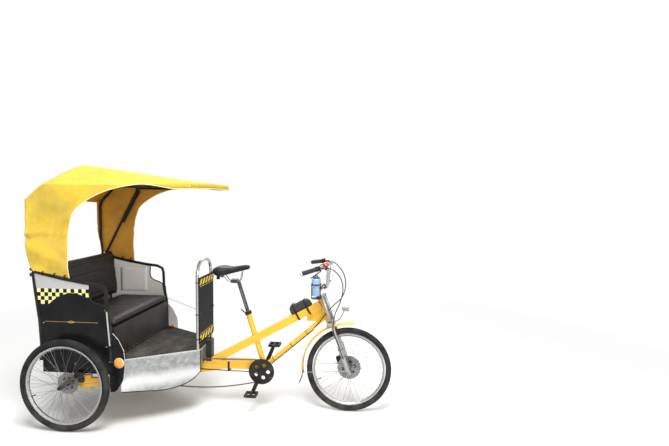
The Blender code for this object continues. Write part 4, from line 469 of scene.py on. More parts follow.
def brushed_group():
    """Brushed metal: noise drawn out into long fine lines."""
    tree, given, leave = group("Brushed", {"Stretch": ("Vector", None), "Scale": ("Float", 60.0)},
                               {"Lines": "Float"})
    place = shader_node(tree, "TexCoord").outputs["Object"]
    drawn = shader_node(tree, "VectorMath", {0: place, 1: given["Stretch"]}, operation="MULTIPLY").outputs[0]
    put_out(leave, Lines=noise(drawn, given["Scale"], 4.0, 0.6))


for build in (grime_group, scratch_group, weave_group, leather_group, brushed_group):
    build()
print("node groups:", ", ".join(sorted(g.name for g in bpy.data.node_groups)))

# %% Materials from those groups
AXLE, TYRE_RADIUS = 1.0, 0.334
YELLOW = (0.83, 0.46, 0.012)


def start_material(name, roughness=0.5, metallic=0.0, **shader_values):
    """A material with its shader, and the object's own coordinates for the patterns."""
    made = bpy.data.materials.new(name)
    made.use_nodes = True
    tree = made.node_tree
    shader = tree.nodes["Principled BSDF"]
    shader.inputs["Roughness"].default_value = roughness
    shader.inputs["Metallic"].default_value = metallic
    for label, value in shader_values.items():
        shader.inputs[label.replace("_", " ")].default_value = value
    return made, tree, shader, shader_node(tree, "TexCoord").outputs["Object"]


def finish_with(shader, base, gloss, amount, metal=None, height=None, depth=0.0001, **dust):
    """Dusts a colour and joins it to the shader, with a bump of that depth in metres."""
    tree = tree_of(shader)
    out = use(tree, "Grime", Colour=base, Gloss=gloss, Amount=amount, **dust)
    relief = {"Height": out["Height"] if height is None else height, "Distance": depth, "Strength": 1.0}
    bump = shader_node(tree, "Bump", relief)
    join(shader, {"Base Color": out["Color"], "Roughness": out["Roughness"], "Normal": bump.outputs[0]})
    if metal is not None:
        join(shader, {"Metallic": metal})


def dusty(name, colour, roughness, metallic=0.0, amount=0.25, scale=9.0, depth=0.0002, wear=0.0,
          under=(0.35, 0.34, 0.32), **shader_values):
    """The general finish: grime over a colour, with scratches that show what is under it."""
    made, tree, shader, place = start_material(name, roughness, metallic, **shader_values)
    base = (*colour, 1)
    if wear:
        mask = use(tree, "Scratches", Vector=place, Amount=wear)["Mask"]
        base = tint(mask, base, (*under, 1))
    finish_with(shader, base, roughness, amount, depth=depth, Scale=scale)
    return made


def leather(name, colour, roughness, grain=260.0, amount=0.08):
    """Leather or vinyl with its grain and a little dust in it."""
    made, tree, shader, place = start_material(name, roughness, Specular_IOR_Level=0.2)
    paler = tuple(c * 1.7 + 0.006 for c in colour)
    base = tint(span(noise(place, 7.0, 4.0), 0.35, 0.75), (*colour, 1), (*paler, 1))
    height = use(tree, "Leather grain", Scale=grain)["Height"]
    finish_with(shader, base, roughness, amount, height=height, depth=0.0003, Scale=6.0)
    return made


def brushed(name, colour, roughness, stretch, metallic=1.0, amount=0.2):
    """Metal with long fine lines, which vary its colour and its gloss."""
    made, tree, shader, place = start_material(name, roughness, metallic)
    lines = use(tree, "Brushed", Stretch=stretch)["Lines"]
    darker = tuple(c * 0.72 for c in colour)
    base = tint(lines, (*darker, 1), (*colour, 1))
    gloss = span(lines, 0.2, 0.8, roughness - 0.08, roughness + 0.12)
    finish_with(shader, base, gloss, amount, height=lines, depth=0.00008)
    return made


def cloth(name, colour, shade, threads, roughness=0.85, amount=0.2, from_map=True):
    """Woven cloth: threads follow the piece's own map, or its place where it has none."""
    made, tree, shader, place = start_material(name, roughness)
    laid = shader_node(tree, "UVMap").outputs[0] if from_map else place
    woven = use(tree, "Weave", Vector=laid, Threads=threads)
    base = tint(span(woven["Shade"], 0.2, 0.75), (*shade, 1), (*colour, 1))
    # Large darker patches from slow noise.
    dark_patches = span(noise(place, 3.6, 6.0, 0.65), 0.44, 0.72, 0.0, 0.85)
    base = tint(dark_patches, base, tuple(c * 0.58 for c in colour) + (1,))
    finish_with(shader, base, roughness, amount, height=woven["Height"], depth=0.0003, Scale=5.0, Top=2.4)
    return made


def panel_print():
    """Sheet aluminium, printed on its outer face only: black with a band of taxi checks that an arch
    cuts off, and one thin gilt line with a lozenge on it. The top strip is left bare."""
    made, tree, shader, place = start_material("printed side panel", 0.3, Specular_IOR_Level=0.15)
    x, y, z = split(place)
    outer = abs(y) > 0.4615
    bare = (z > 1.015) * (x < -0.842)
    printed = outer * (1.0 - bare)
    middle = x + 0.973
    arch = 0.985 - middle * middle * 2.6
    over = (z > arch) * (z > 0.9015)
    band = over * within(x, -1.24, -0.842) * (z < 1.015)
    cell = shader_node(tree, "CombineXYZ", {0: x + 1.24, 1: 0.01, 2: z - 0.9015}).outputs[0]
    squares = shader_node(tree, "TexChecker", {"Vector": cell, "Scale": 1 / 0.0284}).outputs["Fac"]
    rule = within(z, 0.7725, 0.7755) * within(x, -1.185, -0.785)
    side = abs(x + 0.985) / 0.038
    lozenge = side + abs(z - 0.774) / 0.01
    gilt = rule | (lozenge < 1.0) * (lozenge > 0.45)
    ink = tint(band * squares, (0.005, 0.005, 0.006, 1), (0.88, 0.83, 0.36, 1))
    ink = tint(gilt, ink, (0.42, 0.27, 0.08, 1))
    lines = use(tree, "Brushed", Stretch=(1.0, 8.0, 8.0))["Lines"]
    sheet = tint(1.0 - outer, tint(lines, (0.46, 0.47, 0.46, 1), (0.62, 0.62, 0.61, 1)), (0.9, 0.9, 0.88, 1))
    metal = (outer - printed) * 0.45
    gloss = span(printed, 0.0, 1.0, 0.42, 0.26)
    finish_with(shader, tint(printed, sheet, ink), gloss, 0.07, metal)
    return made


def striped_board():
    """The black board in front, with a band of slanting yellow bars near its top and its foot."""
    made, tree, shader, place = start_material("striped board", 0.45, Specular_IOR_Level=0.05)
    x, y, z = split(place)
    bands = within(z, 1.0, 1.044) | within(z, 0.561, 0.605)
    slant = maths("FRACT", (y - z * 0.75) / 0.062)
    bars = bands * (slant > 0.45) * within(y, -0.145, 0.145)
    rules = (within(z, 0.9865, 0.9895) | within(z, 0.6155, 0.6185)) * within(y, -0.145, 0.145)
    base = tint(bars | rules, (0.006, 0.006, 0.007, 1), (0.86, 0.64, 0.07, 1))
    finish_with(shader, base, 0.45, 0.03)
    return made


def skirt_with_painted_reflections():
    """Polished sheet in the open air, its light painted into the colour: mottled grey above, painted as shade
    on the upright part, and a painted bright reflection band low down where it turns towards the light, with
    a thin painted highlight along the top bend. The band is a smooth bump on the height, moved a little by
    slow noise."""
    made, tree, shader, place = start_material("skirt sheet with painted reflections", 0.32, 0.75)
    z = split(place)[2]
    cloudy = noise(place, 26.0, 6.0, 0.7)
    waved = z + noise(place, 5.0, 3.0) * 0.05
    low, high = span(waved, 0.275, 0.335), span(waved, 0.415, 0.365)
    # Painted reflection: a bright band low on the sheet, and a thin painted highlight along the top bend.
    bright = low * high | span(z, 0.486, 0.494, 0.0, 0.6)
    # Painted shade: the mottled grey above is the upright part of the sheet, turned away from the sky.
    mottled = tint(span(cloudy, 0.3, 0.7), (0.2, 0.21, 0.21, 1), (0.44, 0.45, 0.44, 1))
    lines = use(tree, "Brushed", Stretch=(8, 0.4, 8))["Lines"]
    base = tint(bright, mottled, tint(lines, (0.58, 0.59, 0.58, 1), (0.72, 0.72, 0.71, 1)))
    finish_with(shader, base, span(cloudy, 0.2, 0.8, 0.24, 0.42), 0.12)
    return made


def fender_finish():
    """Yellow mudguard with bare wire stays: whatever stands wider than the guard is steel."""
    made, tree, shader, place = start_material("mudguard", 0.32, Coat_Weight=0.3)
    wide = abs(split(place)[1])
    wire = wide > 0.0335
    base = tint(wire, (*YELLOW, 1), (0.45, 0.44, 0.42, 1))
    finish_with(shader, base, 0.32, 0.2, wire)
    return made


def wheel_finish(name, middle_x, disc_y, disc_radius):
    """Rim, spokes, hub and brake disc of one wheel, told apart by their distance from the axle. The
    disc's holes repeat round it: a cosine of the angle times a window on the radius. The disc's holes and
    windows are painted near-black as the shade seen through them, and the spokes dark grey as a painted
    reflection of dark surroundings."""
    made, tree, shader, place = start_material(name, 0.3, 1.0)
    x, y, z = split(place)
    out, up = x - middle_x, z - TYRE_RADIUS
    far = maths("SQRT", out * out + up * up)
    turn = maths("ARCTAN2", up, out)
    on_disc = within(y, disc_y - 0.0022, disc_y + 0.0022) * within(far, 0.028, disc_radius + 0.002)
    swirl = (turn + far * 14.0) * 24.0
    rows = maths("SINE", far * (tau / 0.014))
    holes = (maths("SINE", swirl) * rows > 0.55) * within(far, disc_radius * 0.66, disc_radius - 0.004)
    windows = (maths("SINE", turn * 6.0) > -0.2) * within(far, disc_radius * 0.42, disc_radius * 0.62)
    # Painted shade: the disc's holes and windows are coloured near-black for the shade seen through them.
    dark = on_disc * (holes | windows)
    hub = far < 0.0285
    lines = noise(place, 90.0, 3.0)
    metal = tint(lines, (0.36, 0.36, 0.36, 1), (0.54, 0.54, 0.53, 1))
    # Painted reflection: the spokes are coloured dark grey for the dark surroundings they reflect.
    wires = within(far, 0.03, 0.26) * (1.0 - on_disc)
    metal = tint(wires, metal, (0.17, 0.17, 0.17, 1))
    metal = tint(on_disc, metal, (0.3, 0.3, 0.31, 1))
    base = tint(hub * 0.75, metal, (0.06, 0.06, 0.065, 1))
    base = tint(dark, base, (0.012, 0.012, 0.012, 1))
    joint = within(abs(far - 0.2715), 0.0, 0.0012)
    base = tint(joint * 0.7, base, (0.1, 0.1, 0.1, 1))
    finish_with(shader, base, 0.30, 0.34, Scale=16.0)
    return made


def grip_finish():
    """Grip rubber with rings round it: a sine of the place along the bar's slanting end."""
    made, tree, shader, place = start_material("ribbed grip", 0.68)
    x, y, z = split(place)
    along = x * 0.755 + z * 0.184
    along = along - abs(y) * 0.629
    ribs = maths("SINE", along * (tau / 0.005))
    finish_with(shader, (0.020, 0.020, 0.021, 1), 0.68, 0.15, height=ribs, depth=0.0009)
    return made


def post_finish():
    """Black seat post with a short pale scale up its front: ticks every ten millimetres."""
    made, tree, shader, place = start_material("seat post", 0.35)
    x, y, z = split(place)
    ticks = maths("FRACT", z / 0.01) < 0.16
    lean = (z - 0.776) * 0.3134 + x
    right = (y < -0.01) * within(lean, 0.183, 0.191)
    marks = ticks * right * within(z, 0.8, 0.96)
    finish_with(shader, tint(marks, (0.016, 0.016, 0.018, 1), (0.75, 0.75, 0.72, 1)), 0.34, 0.15)
    return made


yellow_paint = dusty("yellow frame paint", YELLOW, 0.32, amount=0.22, wear=0.25, Coat_Weight=0.2)
fender_paint = fender_finish()
DULL = {"Specular_IOR_Level": 0.15}
black_paint = dusty("black paint", (0.009, 0.009, 0.010), 0.34, amount=0.14, wear=0.25, **DULL)
panel_sheet, board_paint = panel_print(), striped_board()
ribbed_grip, post_black = grip_finish(), post_finish()
front_alloy = wheel_finish("front wheel alloy", AXLE, 0.0373, 0.095)
right_alloy = wheel_finish("right rear wheel alloy", -AXLE, -0.4927, 0.080)
left_alloy = wheel_finish("left rear wheel alloy", -AXLE, 0.4927, 0.080)
black_plastic = dusty("black plastic", (0.010, 0.010, 0.011), 0.5, amount=0.14, **DULL)
deck_rubber = dusty("deck matting", (0.020, 0.019, 0.018), 0.8, amount=0.34, **DULL)
tyre_rubber = dusty("tyre rubber", (0.013, 0.0135, 0.015), 0.78, amount=0.16, scale=14.0, **DULL)
grip_rubber = dusty("grip rubber", (0.010, 0.010, 0.010), 0.7, amount=0.10, **DULL)
# The chrome's colour is set dark, a painted reflection of dark surroundings.
chrome = dusty("chrome", (0.44, 0.42, 0.40), 0.16, 1.0, amount=0.25, depth=0.00005)
steel = brushed("bare steel", (0.30, 0.29, 0.28), 0.36, (6, 6, 1))
alloy = brushed("fork alloy", (0.46, 0.46, 0.45), 0.34, (1, 8, 1))
sheet_alloy = skirt_with_painted_reflections()
chain_steel = dusty("oily chain", (0.12, 0.11, 0.10), 0.42, 0.8, amount=0.5, scale=40.0)
amber = dusty("amber lens", (0.90, 0.33, 0.02), 0.15, amount=0.1, Coat_Weight=0.6)
bottle_blue = dusty("blue bottle", (0.27, 0.42, 0.60), 0.22, amount=0.10, Coat_Weight=0.3)
white_plastic = dusty("white plastic", (0.80, 0.80, 0.78), 0.4, amount=0.15)
red_lacquer = dusty("red bell", (0.50, 0.02, 0.015), 0.22, amount=0.08, Coat_Weight=0.6)
card_stock = dusty("blank card", (0.93, 0.93, 0.92), 0.6, amount=0.05)
bare_sheet = brushed("bare aluminium strip", (0.66, 0.67, 0.66), 0.34, (8, 8, 0.6), 0.8)
lamp_glass = dusty("lamp glass", (0.80, 0.82, 0.84), 0.08, amount=0.05, Coat_Weight=0.8)
bezel_plastic = dusty("lamp bezel", (0.70, 0.62, 0.50), 0.35, amount=0.15)
seat_leather = leather("seat vinyl", (0.013, 0.011, 0.010), 0.46)
saddle_leather = leather("saddle vinyl", (0.009, 0.009, 0.010), 0.42, 320.0)
# Partly dust, partly painted shade: this canvas gets more grime, which thickens towards the hood's foot, so
# the sides come out darker than the roof, as if the roof were lit from above.
hood_canvas = cloth("hood canvas", (0.88, 0.61, 0.050), (0.74, 0.46, 0.020), 700.0, amount=0.36)
# Painted shade: the hood's inside is a darker, redder copy of the same canvas, standing in for its shaded
# underside.
hood_inside_painted_shade = cloth("hood inside, painted shade", (0.72, 0.36, 0.030), (0.56, 0.26, 0.020), 700.0, amount=0.15)
bag_nylon = cloth("bag nylon", (0.016, 0.016, 0.017), (0.008, 0.008, 0.009), 900.0, 0.75, from_map=False)
piping_tape = dusty("hood piping", (0.92, 0.82, 0.42), 0.7, amount=0.1)
print(len(bpy.data.materials), "materials")

# %% [markdown]
# ## The hard parts keep their shape
#
# Tubes, rails, wheels and the chain are already right as solids, so each keeps its mesh and only
# gets a finish. One table says which finish goes on which part.

# %% Finishes for the solid parts
finishes = {
    yellow_paint: "main_tube seat_tube down_tube head_tube spine_beam axle_carrier",
    fender_paint: "front_fender",
    black_paint: "rail_right rail_left crossbar main_bow rear_bow visor_frame deck_bracket seat_collar "
                 "bottle_cage brake_lever_right brake_lever_left crankset",
    panel_sheet: "side_panel_right side_panel_left",
    board_paint: "hoop_board",
    post_black: "seat_post",
    black_plastic: "pedal_right pedal_left",
    deck_rubber: "floor_deck",
    tyre_rubber: "front_tyre rear_tyre_right rear_tyre_left",
    ribbed_grip: "grip_right grip_left",
    chrome: "hoop handlebar",
    steel: "rear_axle stem saddle_rails",
    front_alloy: "front_wheel",
    right_alloy: "rear_wheel_right",
    left_alloy: "rear_wheel_left",
    alloy: "fork headlamp back_panel",
    sheet_alloy: "skirt",
    chain_steel: "chain",
    amber: "marker_lamp_right marker_lamp_left",
    bottle_blue: "bottle",
    seat_leather: "seat_cushion backrest seat_box",
    saddle_leather: "saddle",
    bag_nylon: "tube_bag",
}
for finish, names in finishes.items():
    for name in names.split():
        for part_slot in nodes[name].material_slots:
            part_slot.material = finish
print(sum(len(names.split()) for names in finishes.values()), "of", len(nodes), "solids have a finish")

# %% [markdown]
# ## The hood
#
# The hood is one canvas skin stretched over two bows and a visor frame. It has a ridge that falls to
# the front, a fold along each eave, and side curtains whose front edge sweeps down in a long curve.
# One grid serves for all of it: columns run along the cab, rows go up one side, over the ridge and
# down the other. Beyond the curtains only the roof's rows go on, out to the visor.

# %% The hood's measures
HOOD_REAR, HOOD_LONG, HOOD_FOOT, EAVE, RIDGE = -0.315 - AXLE, 1.215, 1.086, 1.765, 1.924
WINDOW_CROWN, RIDGE_START, NARROW_START = 1.679, -0.185 - AXLE, 0.335 - AXLE
HOOD_FRONT = HOOD_REAR + HOOD_LONG
VISOR_HIGH, VISOR_LOW = 1.786, 1.781
HALF_CAB, HALF_VISOR = 0.4612, 0.415
CURTAIN_COLUMNS, CURTAIN_ROWS, ROOF_ROWS, VISOR_COLUMNS = 49, 45, 49, 33
print("hood from x", HOOD_REAR, "to", round(HOOD_FRONT, 3))

# %% The side curtain
REAR_EDGE = ((0.05, 0.06), (0.022, 0.14), (0.003, 0.28), (0.0, 0.454), (0.0, 0.838))
FRONT_EDGE = ((0.265, 0.0), (0.258, 0.16), (0.260, 0.332), (0.264, 0.481), (0.2815, 0.619), (0.305, 0.716),
              (0.344, 0.783), (0.406, 0.858), (0.475, 0.918), (0.56, 0.965), (0.66, 1.0))


def curtain_grid(side):
    """A patch between four edges: the mean of the two pairs of opposite edges, less the mean of the
    corners. Columns run forwards, rows from the foot to the eave."""
    def at(length, rise):
        return HOOD_REAR + HOOD_LONG * length, HOOD_FOOT + (EAVE - HOOD_FOOT) * rise
    rows = np.linspace(0, 1, CURTAIN_ROWS)[:, None, None]
    columns = np.linspace(0, 1, CURTAIN_COLUMNS)[None, :, None]
    rear = through([at(*shares) for shares in REAR_EDGE], CURTAIN_ROWS)[:, None]
    front = through([at(*shares) for shares in FRONT_EDGE], CURTAIN_ROWS)[:, None]
    foot = evenly([at(0.05, 0.06), at(0.265, 0.0)], CURTAIN_COLUMNS)[None]
    top = evenly([at(0.0, 0.838), (RIDGE_START, EAVE), at(0.66, 1.0)], CURTAIN_COLUMNS)[None]
    between = blend_between(rear, front, columns) + blend_between(foot, top, rows)
    low, high = (blend_between(edge[:, :1], edge[:, -1:], columns) for edge in (foot, top))
    flat = between - blend_between(low, high, rows)
    x, z = flat[..., 0], flat[..., 1]
    out = HALF_CAB + curtain_swell(x, z, side)
    return np.stack([x, side * out, z], axis=-1)


def curtain_swell(x, z, side):
    """How far the cloth stands out: slow folds that die away towards the eave, and one sharp cross
    crease where the hood is folded down."""
    along, up = x - HOOD_REAR, z - HOOD_FOOT
    high = up / (EAVE - HOOD_FOOT)
    slack = np.sin(np.clip(high, 0, 1) * pi) ** 0.7
    folds = 0.007 * np.sin(9.0 * along + 7.0 * z + side) * slack
    drag = 0.006 * np.sin(30.0 * (along * 0.6 + up)) * hill(high, 0.20, 0.16)
    pull = 0.0035 * np.sin(46.0 * (z - 0.35 * along)) * hill(high, 0.62, 0.14)
    level = z - 0.012 * np.sin(along * 9.0)
    crease = 0.011 * hill(level, 1.404, 0.011) - 0.008 * hill(level, 1.376, 0.018)
    small = 0.0012 * np.sin(75.0 * z + 12.0 * np.sin(9.0 * x)) * slack
    return np.maximum(0.0010 * slack, (folds + drag + pull) * 0.9 + crease + small + 0.004 * slack)


print("curtain rows and columns:", CURTAIN_ROWS, CURTAIN_COLUMNS)

# %% The roof over the bows


def roof_grid(columns_x, columns_eave):
    """Rings across the roof. Each is a smooth arch from eave to ridge to eave, its height the eave's
    plus the crown's rise times a rounded share, with a slight sag between the bows."""
    front_share = np.clip((columns_x - NARROW_START) / (HOOD_FRONT - NARROW_START), 0, 1)
    half = blend_between(HALF_CAB, HALF_VISOR, front_share)
    peak, top = RIDGE_START + 0.050, RIDGE + 0.005
    rear_share = np.sin(np.clip((columns_x - HOOD_REAR) / (peak - HOOD_REAR), 0, 1) * pi / 2) ** 0.9
    fall = np.clip((columns_x - peak) / (HOOD_FRONT - peak), 0, 1)
    ridge = np.where(columns_x < peak, blend_between(WINDOW_CROWN, top, rear_share),
                     blend_between(top, VISOR_HIGH, fall))
    across = np.linspace(-1, 1, ROOF_ROWS)[:, None]
    arch = through([(-1, 0), (-0.78, 0.27), (-0.42, 0.70), (0, 1), (0.42, 0.70), (0.78, 0.27), (1, 0)],
                   ROOF_ROWS)
    after_bow = np.clip((columns_x + 0.937) / 0.78, 0, 1)
    before_bow = np.clip((columns_x + 1.165) / 0.228, 0, 1)
    bows = np.sin(after_bow * pi) + 0.6 * np.sin(before_bow * pi)
    sag = 0.010 * bows[None] * (1 - np.abs(arch[:, :1]) ** 3) * (0.35 + np.abs(arch[:, :1]))
    high = blend_between(columns_eave[None], ridge[None], arch[:, 1:]) - sag
    return np.stack([np.broadcast_to(columns_x, high.shape), arch[:, :1] * half[None], high], axis=-1)


def hood_surface():
    """The hood as two joined grids: curtain, roof and curtain over the seats, then the visor alone."""
    right, left = curtain_grid(-1), curtain_grid(1)
    top_x, top_z = right[-1, :, 0], right[-1, :, 2]
    roof = roof_grid(top_x, top_z)
    right[-1], left[-1] = roof[0], roof[-1]
    over_seats = np.concatenate([right, roof[1:-1], left[::-1]])
    visor_x = np.linspace(top_x[-1], HOOD_FRONT, VISOR_COLUMNS)
    visor_share = np.clip((visor_x - NARROW_START) / (HOOD_FRONT - NARROW_START), 0, 1)
    visor = roof_grid(visor_x, blend_between(EAVE, VISOR_LOW, visor_share))
    return over_seats, visor


def edge_bands(over_seats, visor):
    """The turned-down edges: a lip under each visor eave, the visor's front band and the hem round
    the rear window, each a few rows that curl over a small radius."""
    lip_drop = np.array([0.0, 0.006, 0.020, 0.040])[:, None, None]
    growth = smooth_step(0.05, 0.34, visor[0, :, 0] - visor[0, 0, 0])[None, :, None]
    down = np.array([0.0, 0.0, -1.0])
    lips = []
    for edge, side in ((visor[0], -1), (visor[-1], 1)):
        bulge = np.array([0.0, 0.002, 0.002, 0.0])[:, None, None] * np.array([0.0, side, 0.0])
        lips.append(edge[None] + (lip_drop * down + bulge) * growth)
    front = visor[:, -1]
    band = np.stack([front, front + (0.003, 0, -0.004), front + (0.004, 0, -0.018),
                     front + (0.003, 0, -0.040)])
    rear = over_seats[:, 0]
    toward = np.sign(-rear[:, 1:2]) * np.array([0.0, 1.0, 0.0])
    high = rear[:, 2:3]
    on_side = smooth_step(1.16, 1.42, high) * (np.abs(rear[:, 1:2]) > HALF_CAB - 0.02)
    width = 0.006 + 0.045 * on_side
    row = np.arange(len(rear))
    over_window = (row >= CURTAIN_ROWS - 1) & (row <= len(rear) - CURTAIN_ROWS)
    turn_in = np.where(over_window[:, None], down * 0.040, toward * width)
    hem = np.stack([rear, rear + turn_in * 0.1 + (-0.002, 0, 0), rear + turn_in * 0.5 + (0.001, 0, 0),
                    rear + turn_in + (0.002, 0, 0)])
    return lips, band, hem


print("hood helpers ready")

# %% Cut and sew the hood
over_seats, visor = hood_surface()
lips, band, hem = edge_bands(over_seats, visor)
hood_parts, hood_faces, hood_map, first = [], [], [], 0
for patch in (over_seats, visor, lips[0], lips[1][:, ::-1], band[:, ::-1], hem):
    rows, columns = patch.shape[:2]
    hood_parts.append(patch.reshape(-1, 3))
    hood_faces.append(grid_faces(rows, columns) + first)
    steps_down = np.cumsum(np.r_[0, np.linalg.norm(np.diff(patch[:, 0], axis=0), axis=1)])
    steps_along = np.cumsum(np.r_[0, np.linalg.norm(np.diff(patch[0], axis=0), axis=1)])
    down_map, along_map = np.meshgrid(steps_down, steps_along, indexing="ij")
    hood_map.append(np.stack([along_map, down_map], axis=-1).reshape(-1, 2))
    first += rows * columns
hood_cloth = piece("hood_cloth", np.vstack(hood_parts), np.vstack(hood_faces), uv=np.vstack(hood_map))
dress(hood_cloth, hood_canvas, node="hood")
hood_cloth.data.materials.append(hood_inside_painted_shade)
ends = np.zeros(len(hood_cloth.data.edges) * 2, np.int32)
hood_cloth.data.edges.foreach_get("vertices", ends)
spots = np.zeros(len(hood_cloth.data.vertices) * 3)
hood_cloth.data.vertices.foreach_get("co", spots)
spots = spots.reshape(-1, 3)
eave_line = np.vstack([over_seats[CURTAIN_ROWS - 1], over_seats[-CURTAIN_ROWS], visor[0], visor[-1]])
gap = np.abs(spots[:, None] - eave_line[None]).sum(axis=2).min(axis=1)
folded = (gap < 0.0002)[ends.reshape(-1, 2)].all(axis=1)
hood_cloth.data.attributes.new("sharp_edge", "BOOLEAN", "EDGE").data.foreach_set("value", folded)
wall = hood_cloth.modifiers.new("cloth thickness", "SOLIDIFY")
wall.thickness, wall.offset, wall.material_offset = 0.0016, -1.0, 1

# %% Piping on the hood's edges
right_line = np.vstack([over_seats[:CURTAIN_ROWS, -1], lips[0][-1][3:]])
left_line = np.vstack([over_seats[-CURTAIN_ROWS:, -1][::-1], lips[1][-1][3:]])
piping_shapes = [tube_shape(evenly(line, 200), 0.0028, 6, guide=LEFT) for line in (right_line, left_line)]
piping_shapes.append(tube_shape(band[-1], 0.0028, 6, guide=(1, 0, 0)))
hood_piping = fit("hood_piping", piping_shapes, piping_tape)
print("piping:", len(hood_piping.data.polygons), "faces")

# %% [markdown]
# ## Cushions
#
# The seat pad is a boxed vinyl cushion and the backrest a thinner one with channels sewn across it.
# Both start as a pillow: two grids, front and back, that meet along one seam. How full it is at a
# point is the product of two flat-topped curves, one for each direction.

# %% A pillow


def pillow_points(size, rise, steps, corner=9.0, power=0.32):
    """Two grids that meet on a seam. The height over the seam plane is the rise times
    ((1 - u to the corner)(1 - v to the corner)) to the power."""
    u, v = (np.sin(np.linspace(-pi / 2, pi / 2, count)) * 0.75 + 0.25 * np.linspace(-1, 1, count)
            for count in steps)
    u, v = u[:, None], v[None, :]
    full = (np.clip(1 - np.abs(u) ** corner, 0, 1) * np.clip(1 - np.abs(v) ** corner, 0, 1)) ** power
    waist = 1 - 0.012 * (1 - v ** 2) * np.ones_like(u), 1 - 0.006 * (1 - u ** 2) * np.ones_like(v)
    a, b = u * size[0] / 2 * waist[0], v * size[1] / 2 * waist[1]
    crown = 1 + 0.10 * (1 - u ** 2) * (1 - v ** 2)
    return np.stack([np.stack([a, b, rise[0] * full * crown], -1),
                     np.stack([a, b, -rise[1] * full], -1)[:, ::-1]])


def pillow(name, size, rise, steps, origin, up, across, out):
    """A pillow put in place by three directions: up it, across it and out of it."""
    grids = pillow_points(size, rise, steps)
    points = np.asarray(origin) + grids @ unit(np.array([up, across, out], float))
    faces = grid_faces(*steps)
    return piece(name, points, np.vstack([faces, faces + steps[0] * steps[1]]))


print("a pillow has", pillow_points((1, 1), (0.1, 0.1), (9, 9)).shape[1], "rows a side")

# %% Blow the pads up


def shaped(made):
    """The object's mesh as its modifiers leave it."""
    graph = bpy.context.evaluated_depsgraph_get()
    return bpy.data.meshes.new_from_object(made.evaluated_get(graph), depsgraph=graph)


def read_points(mesh):
    """All the points of a mesh as an array."""
    flat = np.zeros(len(mesh.vertices) * 3, np.float32)
    mesh.vertices.foreach_get("co", flat)
    return flat.reshape(-1, 3).astype(float)


def inflate(made, voxel, most, pressure=4.0, frames=20):
    """Simulates a vinyl cover over a soft filling: the pad is cut into small even faces, air pushes the
    cover out, and no point moves further than the most allowed. The caller adds one subdivision to smooth it."""
    made.modifiers.new("even faces", "REMESH").mode = "VOXEL"
    made.modifiers["even faces"].voxel_size = voxel
    cut = shaped(made)
    made.modifiers.clear()
    made.data = cut
    start = read_points(cut)
    air = made.modifiers.new("filling", "CLOTH")
    air.settings.use_pressure, air.settings.uniform_pressure_force = True, pressure
    air.settings.effector_weights.gravity = 0
    air.point_cache.frame_start, air.point_cache.frame_end = 1, frames
    for frame_number in range(1, frames + 1):
        bpy.context.scene.frame_set(frame_number)
    full = read_points(shaped(made))
    made.modifiers.clear()
    bpy.context.scene.frame_set(1)
    step = full - start
    length = np.linalg.norm(step, axis=1)[:, None]
    moved = start + step * np.minimum(1, most / np.maximum(length, 1e-9))
    made.data.vertices.foreach_set("co", moved.astype(np.float32).ravel())
    made.data.polygons.foreach_set("use_smooth", np.ones(len(made.data.polygons), bool))
    print(made.name, "swelled by up to", round(float(length.max()) * 1000, 1), "mm, kept to", most * 1000)


def press_lines(made, across, places, direction, deep, wide, guard):
    """Sewn channels: near each place along one direction the points move in by a narrow bell curve."""
    points = read_points(made.data)
    along = points @ np.asarray(across, float)
    gap = np.abs(along[:, None] - np.asarray(places)[None]).min(axis=1)
    outward = points @ np.asarray(direction, float)
    share = smooth_step(guard[0], guard[1], outward) * deep * hill(gap, 0, wide)
    points -= share[:, None] * np.asarray(direction, float)
    made.data.vertices.foreach_set("co", points.astype(np.float32).ravel())


seat_pad = pillow("seat_pad", (0.440, 0.878), (0.026, 0.026), (57, 97), (-0.897, 0, 0.7625), (1, 0, 0),
                  (0, -1, 0), (0, 0, 1))
back_pad = pillow("back_pad", (0.400, 0.850), (0.042, 0.022), (97, 97), (-1.178, 0, 0.990), (-0.11, 0, 1),
                  (0, 1, 0), (1, 0, 0.11))
inflate(seat_pad, 0.0055, 0.008)
inflate(back_pad, 0.0055, 0.014)
LEAN = np.array((1, 0, 0.11)) / np.hypot(1, 0.11)
press_lines(back_pad, (-0.1093, 0, 0.994), (0.985, 1.075, 1.165, 1.245), LEAN, 0.006, 0.0045,
            (-1.075, -1.055))
press_lines(seat_pad, (0, 1, 0), (0.0,), (0, 0, 1), 0.004, 0.005, (0.770, 0.780))
for pad, node in ((seat_pad, "seat_cushion"), (back_pad, "backrest")):
    finer = pad.modifiers.new("smooth cover", "SUBSURF")
    finer.levels = finer.render_levels = 1
    dress(pad, seat_leather, node=node)
    low, high = pad.bound_box[0], pad.bound_box[6]
    print(pad.name, [round(v, 3) for v in low], [round(v, 3) for v in high], len(pad.data.polygons), "faces")

# %% [markdown]
# ### Piping and rivets on the seat
#
# A cord of piping is sewn into the front edge of the seat pad and round the face of the backrest. On
# the real thing it is vinyl wrapped round a string, so a thin tube along the seam shows it well. Here only
# the seat pad's front edge gets one.

# %% Piping and rivets
pad_front = np.stack([np.full(60, -0.6755), np.linspace(-0.425, 0.425, 60),
                      0.786 + 0.002 * np.cos(np.linspace(-pi, pi, 60))], axis=-1)
box_foot = np.stack([np.full(15, -0.6712), np.linspace(-0.42, 0.42, 15), np.full(15, 0.516)], axis=-1)
fit("seat_piping", [tube_shape(pad_front, 0.0030, 8)], seat_leather)
dress(bolts("seat_box_rivets", box_foot, (1, 0, 0), 0.0045, 0.002), steel)
print("rivets:", len(box_foot))

# %% [markdown]
# ## Tyres
#
# A tyre is a profile turned round the axle. The tread is part of the same grid: where a groove runs,
# the radius is a little smaller, so blocks and grooves need no separate pieces.

# %% Tyres with tread
TYRE_HALF, RIM_SEAT = 0.0238, 0.2865


